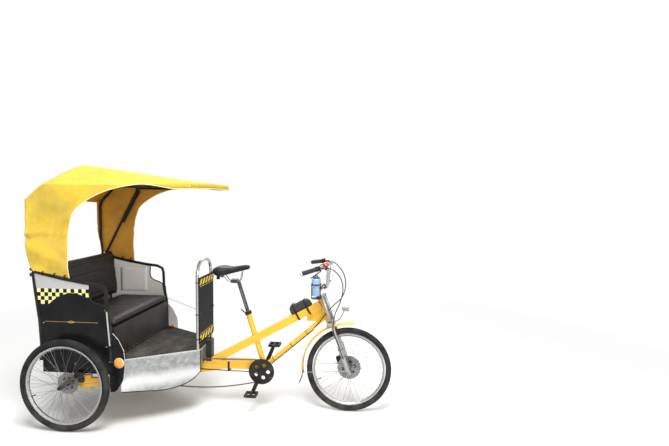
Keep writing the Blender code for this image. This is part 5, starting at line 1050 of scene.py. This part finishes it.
def tyre_points(side_offset, centre_x, around=720, over=41):
    """Radius and width of the carcass follow a flattened circle from bead to bead. On the crown the
    radius drops by the groove depth where slanted bands or the two ring grooves run."""
    bend = np.linspace(-0.86 * pi, 0.86 * pi, over)
    width = TYRE_HALF * np.sin(bend)
    middle = (TYRE_RADIUS + RIM_SEAT) / 2 + 0.001
    radius = middle + (TYRE_RADIUS - middle) * np.cos(bend)
    turn = circle(around)[:, None]
    slant = np.abs(width)[None] * 32
    bands = smooth_step(0.72, 0.86, np.cos(turn * 90 + slant) * 0.5 + 0.5)
    rings = smooth_step(0.0010, 0.0004, np.abs(np.abs(width) - 0.0055))[None]
    crown = smooth_step(0.0208, 0.0180, np.abs(width))[None] * (np.cos(bend)[None] > 0)
    depth = 0.0022 * crown * np.maximum(bands * (np.abs(width)[None] > 0.0035), rings)
    lip = 0.0006 * smooth_step(0.0016, 0.0006, np.abs(radius - 0.303))[None] * (np.cos(bend)[None] < 0.7)
    r, w = radius[None] - depth, width[None] + lip * np.sign(width)[None]
    return np.stack([centre_x + r * np.cos(turn), side_offset + w + 0 * turn, TYRE_RADIUS + r * np.sin(turn)],
                    axis=-1)


def dress_tyre(name, node, body, side_offset, centre_x):
    """A turned tyre that stands for the plain one, closed at the beads."""
    grid = tyre_points(side_offset, centre_x)
    made = piece(name, grid, grid_faces(grid.shape[0], grid.shape[1], round_rows=True, round_columns=True))
    return dress(made, tyre_rubber, body, node)


tyres = [
    dress_tyre("tyre_front", "front_tyre", "front_wheel_set", 0.0, AXLE),
    dress_tyre("tyre_rear_right", "rear_tyre_right", "rear_wheel_set_right", -0.53, -AXLE),
    dress_tyre("tyre_rear_left", "rear_tyre_left", "rear_wheel_set_left", 0.53, -AXLE),
]
print("tyre faces:", len(tyres[0].data.polygons))

# %% [markdown]
# ## Cab trim
#
# Small things make the cab look real: bolt heads, the rubber edge on the cut-outs, lashings that tie
# the hood to the rails, lamps with a rim, and the dark edge that is folded over the skirt's foot.

# %% Trim on the side panels
RAIL_REAR, PANEL_LOW = -1.268, 0.400
PANEL_BOLTS = ((-1.196, 0.764), (-0.728, 0.866), (-1.19, 0.60), (-0.722, 0.60), (-0.96, 0.47))
cutout_shares = ((0.690, 0.898), (0.735, 0.880), (0.7315, 0.800), (0.745, 0.742), (0.790, 0.713),
                 (0.860, 0.691), (0.935, 0.666))
cutout = [(RAIL_REAR + 0.577 * along, PANEL_LOW + 0.732 * up) for along, up in cutout_shares]
line = through(cutout, 60)
trim_shapes, lashing_shapes, bolt_places, strip_shapes = [], [], {}, []
rail_slope = Vector((0.331, 0, -0.0432)).normalized()
for side in SIDES:
    path = np.stack([line[:, 0], np.full(60, side * 0.460), line[:, 1]], axis=-1)
    trim_shapes.append(tube_shape(path, 0.0048, 8, guide=LEFT))
    for x in (-1.19, -1.10, -1.02):
        height = 1.132 - 0.1305 * (x + 1.251)
        lashing_shapes += [ring_shape((x + shift, side * 0.460, height), rail_slope, 0.0150, 0.0022, 20, 6)
                           for shift in (-0.004, 0.004)]
    bolt_places[side] = [(x, side * 0.4632, z) for x, z in PANEL_BOLTS]
    slant = Matrix(((0.997, 0, 0.077), (0, 1, 0), (-0.077, 0, 0.997)))
    strip_shapes.append(block_shape((-0.700, side * 0.4742, 0.735), (0.011, 0.0022, 0.250), np.array(slant).T,
                                    sharp=0.12))
fit("panel_edge_trim", trim_shapes, grip_rubber)
fit("hood_lashings", lashing_shapes, black_plastic)
fit("panel_front_strips", strip_shapes, bare_sheet)
for side, word in ((-1, "right"), (1, "left")):
    dress(bolts(f"panel_bolts_{word}", bolt_places[side], (0, side, 0), 0.0065, 0.0035), steel)
corner_profile = [(0, 0), (0, 0.009), (0.004, 0.009), (0.007, 0.005), (0.007, 0)]
fit("rail_corner_bolts", [turned_shape(corner_profile, 14, (-1.276, side * 0.4731, 1.135), (0, side, 0))
                          for side in SIDES], white_plastic)
print("trim, lashings and bolts on", len(bolt_places), "sides")

# %% Lamps and card
LAMP_X, LAMP_Z = -0.628, 0.487
fit("marker_lamp_rims", [ring_shape((LAMP_X, side * 0.4655, LAMP_Z), LEFT, 0.0345, 0.0034, 36, 8)
                         for side in SIDES], bezel_plastic)
back_profile = [(0, 0), (0, 0.024), (0.006, 0.023), (0.011, 0.015), (0.013, 0)]
fit("marker_lamp_backs", [turned_shape(back_profile, 24, (LAMP_X, side * 0.4566, LAMP_Z), (0, -side, 0))
                          for side in SIDES], amber)
fit("marker_lens_ribs", [ring_shape((LAMP_X, side * (0.4785 - 0.35 * r), LAMP_Z), LEFT, r, 0.0011, 28, 6)
                         for side in SIDES for r in (0.008, 0.0145)], amber)
u, v = np.meshgrid(np.linspace(0, 1, 9), np.linspace(0, 1, 11), indexing="ij")
bowed = 0.4562 - 0.0016 * np.sin(pi * u) * (0.3 + v)
front_face = np.stack([blend_between(-1.125, -0.872, u), bowed, blend_between(0.812, 1.030, v)], axis=-1)
card = piece("blank_card", front_face, grid_faces(9, 11), closed=False)
card.modifiers.new("card", "SOLIDIFY").thickness = 0.0009
dress(card, card_stock)
print("lamps and card ready")

# %% Skirt edging and rivets
skirt_shares = np.array([(0.0, 0.87), (0.35, 0.96), (0.58, 1.0), (0.78, 0.94), (0.92, 0.80), (1.0, 0.64)])
ahead = blend_between(0.375, 0.850, skirt_shares[:, 0])
half_deck = blend_between(0.4567, 0.148, (ahead - 0.330) / 0.520)
edge_out = half_deck + 0.0019 + 0.020 * (1 - skirt_shares[:, 0])
corner_step = 0.0019 * (skirt_shares[:, 0] == 1)
right_edge = np.stack([ahead - 1 + corner_step, -edge_out, 0.5 - 0.270 * skirt_shares[:, 1]], axis=-1)
skirt_shapes, rivet_places = [], []
for side in SIDES:
    edge = right_edge * (1, -side, 1)
    corner = edge[-1]
    skirt_shapes.append(tube_shape(through(edge, 90), 0.0042, 8))
    skirt_shapes.append(tube_shape(evenly([corner, (corner[0] + 0.001, corner[1], 0.495)], 12), 0.0042, 8,
                                   guide=LEFT))
    skirt_shapes.append(tube_shape(evenly([corner, (corner[0], side * 0.0835, 0.4035)], 14), 0.0036, 8))
    steps = np.linspace(0.06, 0.97, 9)
    out = side * (np.interp(0.375 + 0.475 * steps, ahead, half_deck) + 0.0034)
    rows = np.stack([-0.625 + 0.475 * steps, out, np.full(9, 0.488)], axis=-1)
    rivet_places.append(rows)
fit("skirt_edge_trim", skirt_shapes, grip_rubber)
for side, word, rows in zip(SIDES, ("right", "left"), rivet_places):
    dress(bolts(f"skirt_rivets_{word}", rows, (0.51, side * 0.86, 0), 0.0042, 0.0018), steel)
print("skirt edge:", round(path_length(right_edge), 3), "m a side")

# %% Clamps of the board, and the cable from the rail to the hoop
clamp_shapes = []
for side in SIDES:
    for height in (1.022, 0.772, 0.580):
        clamp_shapes.append(ring_shape((-0.168, side * 0.150, height), (0, 0, 1), 0.0142, 0.0030, 20, 6))
        clamp_shapes.append(block_shape((-0.1480, side * 0.150, height), (0.0042, 0.020, 0.018), sharp=0.3))
fit("board_clamps", clamp_shapes, black_plastic)
stay = through([(-0.704, 0.452, 0.760), (-0.55, 0.375, 0.742), (-0.36, 0.262, 0.716),
                (-0.180, 0.158, 0.700)], 40)
stay_ends = [block_shape(stay[k], (0.012, 0.012, 0.012), sharp=0.4) for k in (0, -1)]
fit("hoop_stay_wire", [tube_shape(stay, 0.0016, 6)] + stay_ends, black_paint)
bow_braces = []
for side in SIDES:
    low, high = np.array((-1.258, side * 0.4447, 1.158)), np.array((-0.937, side * 0.4447, 1.745))
    leg = evenly([blend_between(low, high, share) + (0.017, 0, -0.009) for share in (0.50, 0.97)], 12)
    bow_braces.append(tube_shape(leg, 0.0075, 10, guide=LEFT))
    bow_braces += [block_shape(leg[k] - (0.008, 0, -0.004), (0.034, 0.015, 0.015), sharp=0.4)
                   for k in (0, -1)]
fit("bow_braces", bow_braces, black_paint)
print("clamps:", len(clamp_shapes))

# %% [markdown]
# ## Saddle, grips, lamp and bottle
#
# The saddle is a loft: one cross section is carried from the broad tail to the narrow nose while its
# width, top and foot change. The bottle and the lamp's glass are turned shapes.

# %% The saddle
saddle_stations = np.array([  # length, half width, top, foot
    (0.000, 0.040, 1.107, 1.090), (0.006, 0.062, 1.118, 1.074), (0.028, 0.082, 1.130, 1.060),
    (0.062, 0.0945, 1.137, 1.054), (0.110, 0.082, 1.134, 1.066), (0.150, 0.050, 1.131, 1.078),
    (0.190, 0.032, 1.137, 1.088), (0.245, 0.024, 1.145, 1.103), (0.280, 0.019, 1.144, 1.112),
    (0.290, 0.009, 1.136, 1.120)])
stations = through(saddle_stations, 61)
turn = circle(48)[None]
side_push, up_push = push(np.cos(turn), 0.75), push(np.sin(turn), 0.8)
middle, rise = (stations[:, 2:3] + stations[:, 3:4]) / 2, (stations[:, 2:3] - stations[:, 3:4]) / 2
lengthwise = stations[:, :1]
dip = 0.006 * hill(np.cos(turn), 0, 0.30) * (np.sin(turn) > 0)
dip = dip * smooth_step(0.015, 0.05, lengthwise) * smooth_step(0.26, 0.17, lengthwise)
rings = np.stack([-0.085 + stations[:, :1] + 0 * turn, stations[:, 1:2] * side_push,
                  middle + rise * up_push - dip], axis=-1)
rings[0], rings[-1] = rings[0].mean(axis=0), rings[-1].mean(axis=0)
saddle_cover = dress(piece("saddle_cover", rings, grid_faces(61, 48, round_columns=True)), saddle_leather,
                     "saddle_post", "saddle")
seam = np.concatenate([rings[4:58, 1], rings[4:58, 23][::-1]])
seam[:, 1] *= 1.012
fit("saddle_seam", [loop_shape(evenly(np.vstack([seam, seam[:1]]), 160)[:-1], 0.0016, (0, 0, 1), 6)],
    black_plastic, "saddle_post")
spring_shapes = []
for side in SIDES:
    waves = [(0.002 + 0.036 * t, 0.013 + 0.0028 * np.cos(t * tau * 3)) for t in np.linspace(0, 1, 22)]
    profile = [(0, 0), (0, 0.013)] + waves + [(0.040, 0.013), (0.040, 0)]
    spring_shapes.append(turned_shape(profile, 16, (-0.038, side * 0.048, 1.036), (0.1, 0, 1)))
fit("saddle_bumpers", spring_shapes, grip_rubber, "saddle_post")
lever = through([(0.205, -0.030, 0.762), (0.190, -0.040, 0.766), (0.168, -0.044, 0.780),
                 (0.142, -0.040, 0.799)], 24)
fit("collar_lever", [tube_shape(lever, 0.0048, 10, flatness=0.6, guide=LEFT),
                     turned_shape([(0, 0), (0, 0.008), (0.016, 0.008), (0.016, 0)], 16,
                                  (0.202, -0.036, 0.763), (0, 1, 0))], black_plastic)
print("saddle:", len(saddle_cover.data.polygons), "faces")

# %% Grip ends, bell and lamp glass
bar_end, bar_in = np.array((0.669, 0.300, 1.1363)), unit(np.array((0.755, -0.629, 0.184)))
end_shapes = []
for side in SIDES:
    flip = np.array((1, side, 1))
    end_shapes.append(turned_shape([(0, 0), (0, 0.0158), (0.003, 0.0162), (0.006, 0.012), (0.0075, 0)], 20,
                                   bar_end * flip - bar_in * flip * 0.0065, -bar_in * flip))
fit("grip_end_caps", end_shapes, white_plastic, "steering")
bell_place = np.array((0.829, -0.166, 1.169))
bell_profile = [(0.0, 0.0), (0.0, 0.0262)]
bell_profile += [(0.002 + 0.019 * np.sin(t), 0.027 * np.cos(t)) for t in np.linspace(0, pi / 2, 9)]
fit("bell", [turned_shape(bell_profile, 28, bell_place + (0, 0, 0.0135), (0, -0.15, 1))], red_lacquer,
    "steering")
fit("bell_clamp", [ring_shape(bell_place + (0.0, 0, -0.007), (-0.68, -0.6, 0.43), 0.0148, 0.0034, 20, 8),
                   block_shape(bell_place + (0.0, 0, 0.0085), (0.013, 0.013, 0.014), sharp=0.4)],
    black_plastic, "steering")
lamp_front = np.array((0.994, 0, 0.823))
glass = [turned_shape([(0, 0), (0, 0.0235), (0.0015, 0.0235), (0.004, 0.017), (0.0055, 0)], 28,
                      lamp_front + (0.0004, 0, 0), (1, 0, 0))]
fit("headlamp_glass", glass, lamp_glass, "steering")
fit("headlamp_rim", [ring_shape(lamp_front + (0.0005, 0, 0), (1, 0, 0), 0.0255, 0.0024, 32, 8)], chrome,
    "steering")
print("bell and lamp ready")

# %% The drinking bottle
shares = through([(0, 0.80), (0.01, 0.93), (0.04, 1.0), (0.30, 1.0), (0.34, 0.96), (0.38, 0.88), (0.43, 0.88),
                  (0.47, 0.96), (0.50, 1.0), (0.76, 1.0), (0.80, 0.96), (0.83, 0.80), (0.835, 0.72)], 90)
up_bottle, girth = shares[:, 0], shares[:, 1]
ribs = 0.03 * np.maximum(0, np.sin(up_bottle * 60)) * ((up_bottle > 0.50) & (up_bottle < 0.77))
body_profile = np.stack([up_bottle * 0.160, 0.0355 * (girth - ribs)], axis=-1)
body_profile = np.vstack([[0, 0], body_profile, [0.835 * 0.160, 0]])
bottle_foot = (0.744, -0.062, 0.930)
drink_bottle = fit("drink_bottle", [turned_shape(body_profile, 40, bottle_foot, (0, 0, 1))], bottle_blue,
                   "steering", "bottle")
cap_profile = [(0.131, 0), (0.131, 0.0275), (0.140, 0.0280), (0.143, 0.026), (0.144, 0.013), (0.156, 0.0115),
               (0.159, 0.009), (0.1595, 0)]
fit("bottle_cap", [turned_shape(cap_profile, 32, bottle_foot, (0, 0, 1))],
    dusty("dark cap", (0.03, 0.05, 0.10), 0.35, amount=0.08), "steering")
print("bottle:", len(drink_bottle.data.polygons), "faces")

# %% [markdown]
# ## The bag on the main tube
#
# The bag is a soft shell lofted along the tube. Its top sags between its stiffer ends, its sides
# bulge where the load lies, and a zip runs along it. Two straps hold it to the tube.

# %% Bag, zip and straps
HEAD_ANGLE = radians(70.35)
steer_foot, steer_up = np.array((0.832, 0, 0.715)), np.array((-cos(HEAD_ANGLE), 0, sin(HEAD_ANGLE)))
steer_ahead = np.array((sin(HEAD_ANGLE), 0, cos(HEAD_ANGLE)))
tube_foot = np.array((-0.200, 0, 0.3085))
tube_top = steer_foot + steer_up * 0.1468
tube_run = unit(tube_top - tube_foot)
tube_up = np.array((-tube_run[2], 0, tube_run[0]))
bag_middle = tube_top - tube_run * 0.163 + tube_up * 0.0295
t = np.linspace(-1, 1, 61)[:, None]
turn = circle(40)[None]
full = np.clip(1 - np.abs(t) ** 6.0, 0, 1) ** 0.45
sag = 1 - 0.05 * hill(t, -0.1, 0.5) + 0.015 * np.sin(9 * t) - 0.09 * t
wide = 0.0365 * full * (1 + 0.04 * np.sin(7 * t + 1) + 0.03 * np.sin(turn * 3 + t * 5))
high = 0.0345 * full * sag
across_part = wide * push(np.cos(turn), 0.62)
up_part = high * (push(np.sin(turn), 0.55) + 1.0) + 0.0012
bag_points = bag_middle + (t * 0.093)[..., None] * tube_run + across_part[..., None] * LEFT
bag_points = bag_points + up_part[..., None] * tube_up
bag = dress(piece("frame_bag", bag_points, grid_faces(61, 40, round_columns=True)), bag_nylon,
            node="tube_bag")
zip_line = bag_points[6:55, 4] + tube_up * 0.0004
zip_shapes = [tube_shape(zip_line, 0.0019, 6, guide=LEFT)]
for share in (-0.048, 0.050):
    centre = bag_middle + tube_run * share - tube_up * 0.0295
    around = circle(48)[:, None]
    hug = np.where(np.sin(around) > 0, 0.1060 - 0.085 * (share + 0.048), 0.0308)
    strap = centre + 0.0395 * push(np.cos(around), 0.35) * LEFT + hug * np.sin(around) * tube_up
    zip_shapes += [loop_shape(strap + tube_run * shift, 0.0016, tube_run, 6)
                   for shift in (-0.005, -0.0025, 0, 0.0025, 0.005)]
fit("bag_straps_and_zip", zip_shapes, black_plastic)
print("bag:", len(bag.data.polygons), "faces")

# %% [markdown]
# ## Brakes, cables and small wheel parts
#
# Each brake lever sends a cable in a loop ahead of the bars. One goes down the fork, the other
# crosses to the down tube, so it has to bend when the fork turns. Nipples and valves sit on the rims.

# %% Brake cables


def on_leg(reach, side, out=0.0, ahead=0.0):
    """A point beside a fork leg: along the steering axis by the reach, then out and ahead."""
    return steer_foot + steer_up * reach + steer_ahead * (0.0301 + ahead) + side * (0.068 + out) * LEFT


front_run = [(0.800, -0.206, 1.158), (0.835, -0.180, 1.163), (0.885, -0.150, 1.142), (0.938, -0.118, 1.075),
             (0.953, -0.100, 0.980), (0.930, -0.094, 0.880), (0.893, -0.0935, 0.790)]
front_run += [tuple(on_leg(reach, -1, out))
              for reach, out in ((-0.06, 0.0225), (-0.16, 0.0215), (-0.25, 0.0215), (-0.30, 0.0215))]
rear_run = [(0.800, 0.206, 1.158), (0.835, 0.180, 1.163), (0.888, 0.145, 1.143), (0.946, 0.095, 1.078),
            (0.965, 0.048, 0.990), (0.938, -0.005, 0.905), (0.878, -0.038, 0.850), (0.825, -0.040, 0.790),
            (0.785, -0.034, 0.735), (0.752, -0.022, 0.690), (0.720, -0.010, 0.655)]


def cable(name, points, body=None):
    """A cable laid through its points."""
    path = through(points, 96)
    made = piece(name, tube_points(path, 0.0036, 10, guide=(0.3, 0.9, 0.2)),
                 grid_faces(98, 10, round_columns=True))
    made.data.materials.append(grip_rubber)
    if body:
        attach(made, body)
    else:
        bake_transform(made)


cable("front_brake_cable", front_run, "steering")
cable("rear_brake_cable", rear_run)

# %% The fork's long upper tubes
#
# The stanchions of this fork run past the head tube to a second crown above it.
upper_shapes, boss_shapes = [], []
for side in SIDES:
    low, high = on_leg(-0.022, side), on_leg(0.1995, side)
    upper_shapes.append(turned_shape([(0, 0), (0, 0.0126), (0.2195, 0.0126), (0.2215, 0.010), (0.2220, 0)],
                                     24, low, steer_up))
    boss_shapes.append(turned_shape([(0, 0), (0, 0.0165), (0.0015, 0.0175), (0.0105, 0.0175), (0.012, 0.0165),
                                     (0.012, 0)], 28, on_leg(0.1935, side), steer_up))
leg_turn = np.array([steer_ahead, (0, 1, 0), steer_up]).T
bridge = block_shape(steer_foot + steer_up * 0.1996 + steer_ahead * 0.016, (0.046, 0.128, 0.0105), leg_turn,
                     0.35, 12, 20)
fit("fork_upper_tubes", upper_shapes, alloy, "steering")
fit("fork_upper_crown", boss_shapes + [bridge], steel, "steering")
print("fork tubes:", len(upper_shapes))

# %% The rest of the rear cable and its ties
crank_foot = np.array((0.314, 0, 0.3231))
down_top = steer_foot + steer_up * 0.0424
down_run = unit(down_top - crank_foot)
down_under = np.array((down_run[2], 0, -down_run[0]))
under = [(0.7201, -0.010, 0.6551)] + [tuple(crank_foot + down_run * r + down_under * 0.0205 + (0, -0.004, 0))
                                      for r in (0.50, 0.42, 0.30, 0.18, 0.09)]
under += [(0.315, -0.0300, 0.282), (0.20, -0.0305, 0.2930), (0.0, -0.0305, 0.296), (-0.25, -0.0305, 0.302),
          (-0.50, -0.0305, 0.318)]
fixed_run = through(under, 140)
fit("rear_cable_run", [tube_shape(fixed_run, 0.0036, 8, guide=LEFT)], grip_rubber)
tie_shapes = [ring_shape(crank_foot + down_run * r + down_under * 0.0012, down_run, 0.0206, 0.0018, 28, 6)
              for r in (0.115, 0.30, 0.46)]
tie_shapes += [ring_shape(on_leg(r, -1, 0.0012), steer_up, 0.0208, 0.0018, 28, 6) for r in (-0.225, -0.285)]
fit("cable_ties_frame", tie_shapes[:3], black_plastic)
fit("cable_ties_fork", tie_shapes[3:], black_plastic, "steering")
fit("spine_sleeve", [block_shape((0.038, 0, 0.3285), (0.018, 0.0605, 0.0800), sharp=0.10)], black_plastic)
print("fixed run:", round(path_length(fixed_run), 3), "m")

# %% Brake calipers and mudflap
caliper_shapes = [block_shape(on_leg(-0.335, 1, -0.0135, -0.052), (0.052, 0.026, 0.062), leg_turn, 0.3),
                  block_shape(on_leg(-0.335, 1, -0.004, -0.028), (0.030, 0.012, 0.030), leg_turn, 0.3)]
fit("front_caliper", caliper_shapes, black_plastic, "steering")
rear_caliper_shapes = []
for side in SIDES:
    rear_caliper_shapes += [block_shape((-0.925, side * 0.4855, 0.395), (0.060, 0.020, 0.045), sharp=0.3),
                            block_shape((-0.915, side * 0.4680, 0.360), (0.040, 0.022, 0.050), sharp=0.3)]
fit("rear_calipers", rear_caliper_shapes, black_plastic)
u, v = np.meshgrid(np.linspace(-1, 1, 13), np.linspace(0, 1, 15), indexing="ij")
flap_half = 0.0255 + 0.004 * v
flap_points = np.stack([0.6330 + 0.006 * (1 - u ** 2) - 0.030 * v ** 1.4, u * flap_half, 0.312 - 0.098 * v],
                       axis=-1)
mudflap = piece("mudflap", flap_points, grid_faces(13, 15), closed=False)
mudflap.modifiers.new("rubber", "SOLIDIFY").thickness = 0.0022
dress(mudflap, grip_rubber, "steering")
print("calipers and flap ready")

# %% Nipples, valves and axle caps


def nipples(name, body, middle, count):
    """Spoke nipples: small turned pegs on the rim's inner face, in two rows a little off the middle."""
    turn = circle(count) + pi / count
    out = np.stack([np.cos(turn), 0 * turn, np.sin(turn)], axis=-1)
    peg = turned_points([(0, 0), (0, 0.0022), (0.010, 0.0018), (0.010, 0)], 6, (0, 0, 0), (0, 0, 1))
    places = np.asarray(middle) + out * 0.2675 + np.where(np.arange(count) % 2, 0.003, -0.003)[:, None] * LEFT
    turns = np.stack([facing(-direction) for direction in out])
    made = copies(name, (peg.reshape(-1, 3), grid_faces(4, 6, round_columns=True)), places, turns)
    return dress(made, steel, body)


def valve(name, body, middle, angle):
    """A tyre valve: a threaded stem with a cap, pointing at the axle."""
    out = np.array((cos(angle), 0, sin(angle)))
    profile = [(0, 0), (0, 0.0034), (0.020, 0.0034), (0.021, 0.0045), (0.034, 0.0042), (0.036, 0)]
    return fit(name, [turned_shape(profile, 12, np.asarray(middle) + out * 0.268, -out)], black_plastic, body)


wheel_places = (("front", "front_wheel_set", (AXLE, 0, TYRE_RADIUS), 36),
                ("rear_right", "rear_wheel_set_right", (-AXLE, -0.53, TYRE_RADIUS), 48),
                ("rear_left", "rear_wheel_set_left", (-AXLE, 0.53, TYRE_RADIUS), 48))
for word, body, middle, count in wheel_places:
    nipples(f"nipples_{word}", body, middle, count)
    valve(f"valve_{word}", body, middle, radians(200))
cap_profile = [(0, 0), (0, 0.0135), (0.004, 0.0145), (0.012, 0.0120), (0.016, 0.006), (0.017, 0)]
fit("rear_axle_caps", [turned_shape(cap_profile, 24, (-AXLE, side * 0.5824, TYRE_RADIUS), (0, side, 0))
                       for side in SIDES], black_plastic)
nut_shapes = [turned_shape([(0, 0), (0, 0.011), (0.007, 0.011), (0.009, 0.007), (0.009, 0)], 6,
                           (AXLE, side * 0.0924, TYRE_RADIUS), (0, side, 0)) for side in SIDES]
dress(gather("front_axle_nuts", nut_shapes, smooth=False), steel, "steering")
print("wheel details ready")

# %% [markdown]
# ## Floor, light and camera
#
# The floor is a pale disc that fades out at its rim, so no horizon shows. The light is soft and
# plain: an even sky and three large lamps. The camera stands where the photograph was taken.

# %% A pale floor


def pale_floor():
    """A disc of rings that lies flat and fades into the white round it."""
    rings = turned_points([(0, 0.0001), (0, 2), (0, 6), (0, 12), (0, 30)], 64, (0, 0, 0), (0, 0, 1))
    made = piece("floor", rings, grid_faces(5, 64, round_columns=True), closed=False)
    finish, tree, shader, place = start_material("pale floor", 0.9)
    shader.inputs["Base Color"].default_value = (0.80, 0.80, 0.79, 1)
    reach = shader_node(tree, "VectorMath", {0: place}, operation="LENGTH").outputs["Value"]
    clear = tree.nodes.new("ShaderNodeBsdfTransparent")
    fade = shader_node(tree, "MixShader", {0: span(reach, 1.7, 5.0), 1: shader.outputs[0],
                                           2: clear.outputs[0]})
    tree.links.new(fade.outputs[0], tree.nodes["Material Output"].inputs[0])
    made.data.materials.append(finish)
    return made


floor = pale_floor()
print("floor ready")

# %% Sky and lamps
world = bpy.data.worlds.new("even sky")
bpy.context.scene.world = world
world.use_nodes = True
sky = world.node_tree
backdrop = sky.nodes["Background"]
rays = sky.nodes.new("ShaderNodeLightPath")
ray_kinds = ("Camera", "Glossy", "Transmission")
camera_ray, glossy_ray, clear_ray = (Number(rays.outputs[f"Is {kind} Ray"]) for kind in ray_kinds)
seen = camera_ray | glossy_ray | clear_ray
join(backdrop, {"Color": WHITE, "Strength": span(seen, 0.0, 1.0, 0.44, 1.0)})


def lamp(name, place, target, size, power):
    """A square soft lamp that faces a point."""
    light = bpy.data.lights.new(name, "AREA")
    light.shape, light.size, light.energy = "SQUARE", size, power
    made = bpy.data.objects.new(name, light)
    bpy.context.scene.collection.objects.link(made)
    made.location = place
    made.rotation_euler = (Vector(target) - Vector(place)).to_track_quat("-Z", "Y").to_euler()
    return made


lamps = [
    lamp("key", (0.8, -2.6, 6.2), (0, 0, 0.8), 2.6, 420),
    lamp("fill", (3.6, -4.4, 2.4), (-0.6, 0, 0.9), 2.8, 150),
    lamp("rim", (-0.5, 4.5, 5.0), (0, 0, 0.8), 3.0, 170),
]
print(len(lamps), "lamps")

# %% The camera


def photo_camera():
    """A camera at the photograph's place, turned by its yaw, pitch and roll."""
    yaw, pitch, roll = radians(4.73), radians(3.47), radians(0.56)
    look = Vector((-sin(yaw) * cos(pitch), cos(yaw) * cos(pitch), -sin(pitch)))
    level = Vector((cos(yaw), sin(yaw), 0))
    upright = level.cross(look)
    right = cos(roll) * level + sin(roll) * upright
    top = -sin(roll) * level + cos(roll) * upright
    data = bpy.data.cameras.new("photo camera")
    data.sensor_width, data.lens = 36.0, 25.17
    made = bpy.data.objects.new("photo camera", data)
    bpy.context.scene.collection.objects.link(made)
    axes = Matrix((right, top, -look)).transposed().to_4x4()
    made.matrix_world = Matrix.Translation((1.175, -3.619, 1.710)) @ axes
    return made


bpy.context.scene.camera = photo_camera()
bpy.context.scene.view_settings.view_transform = "Standard"
print("camera at", [round(v, 2) for v in bpy.context.scene.camera.location])
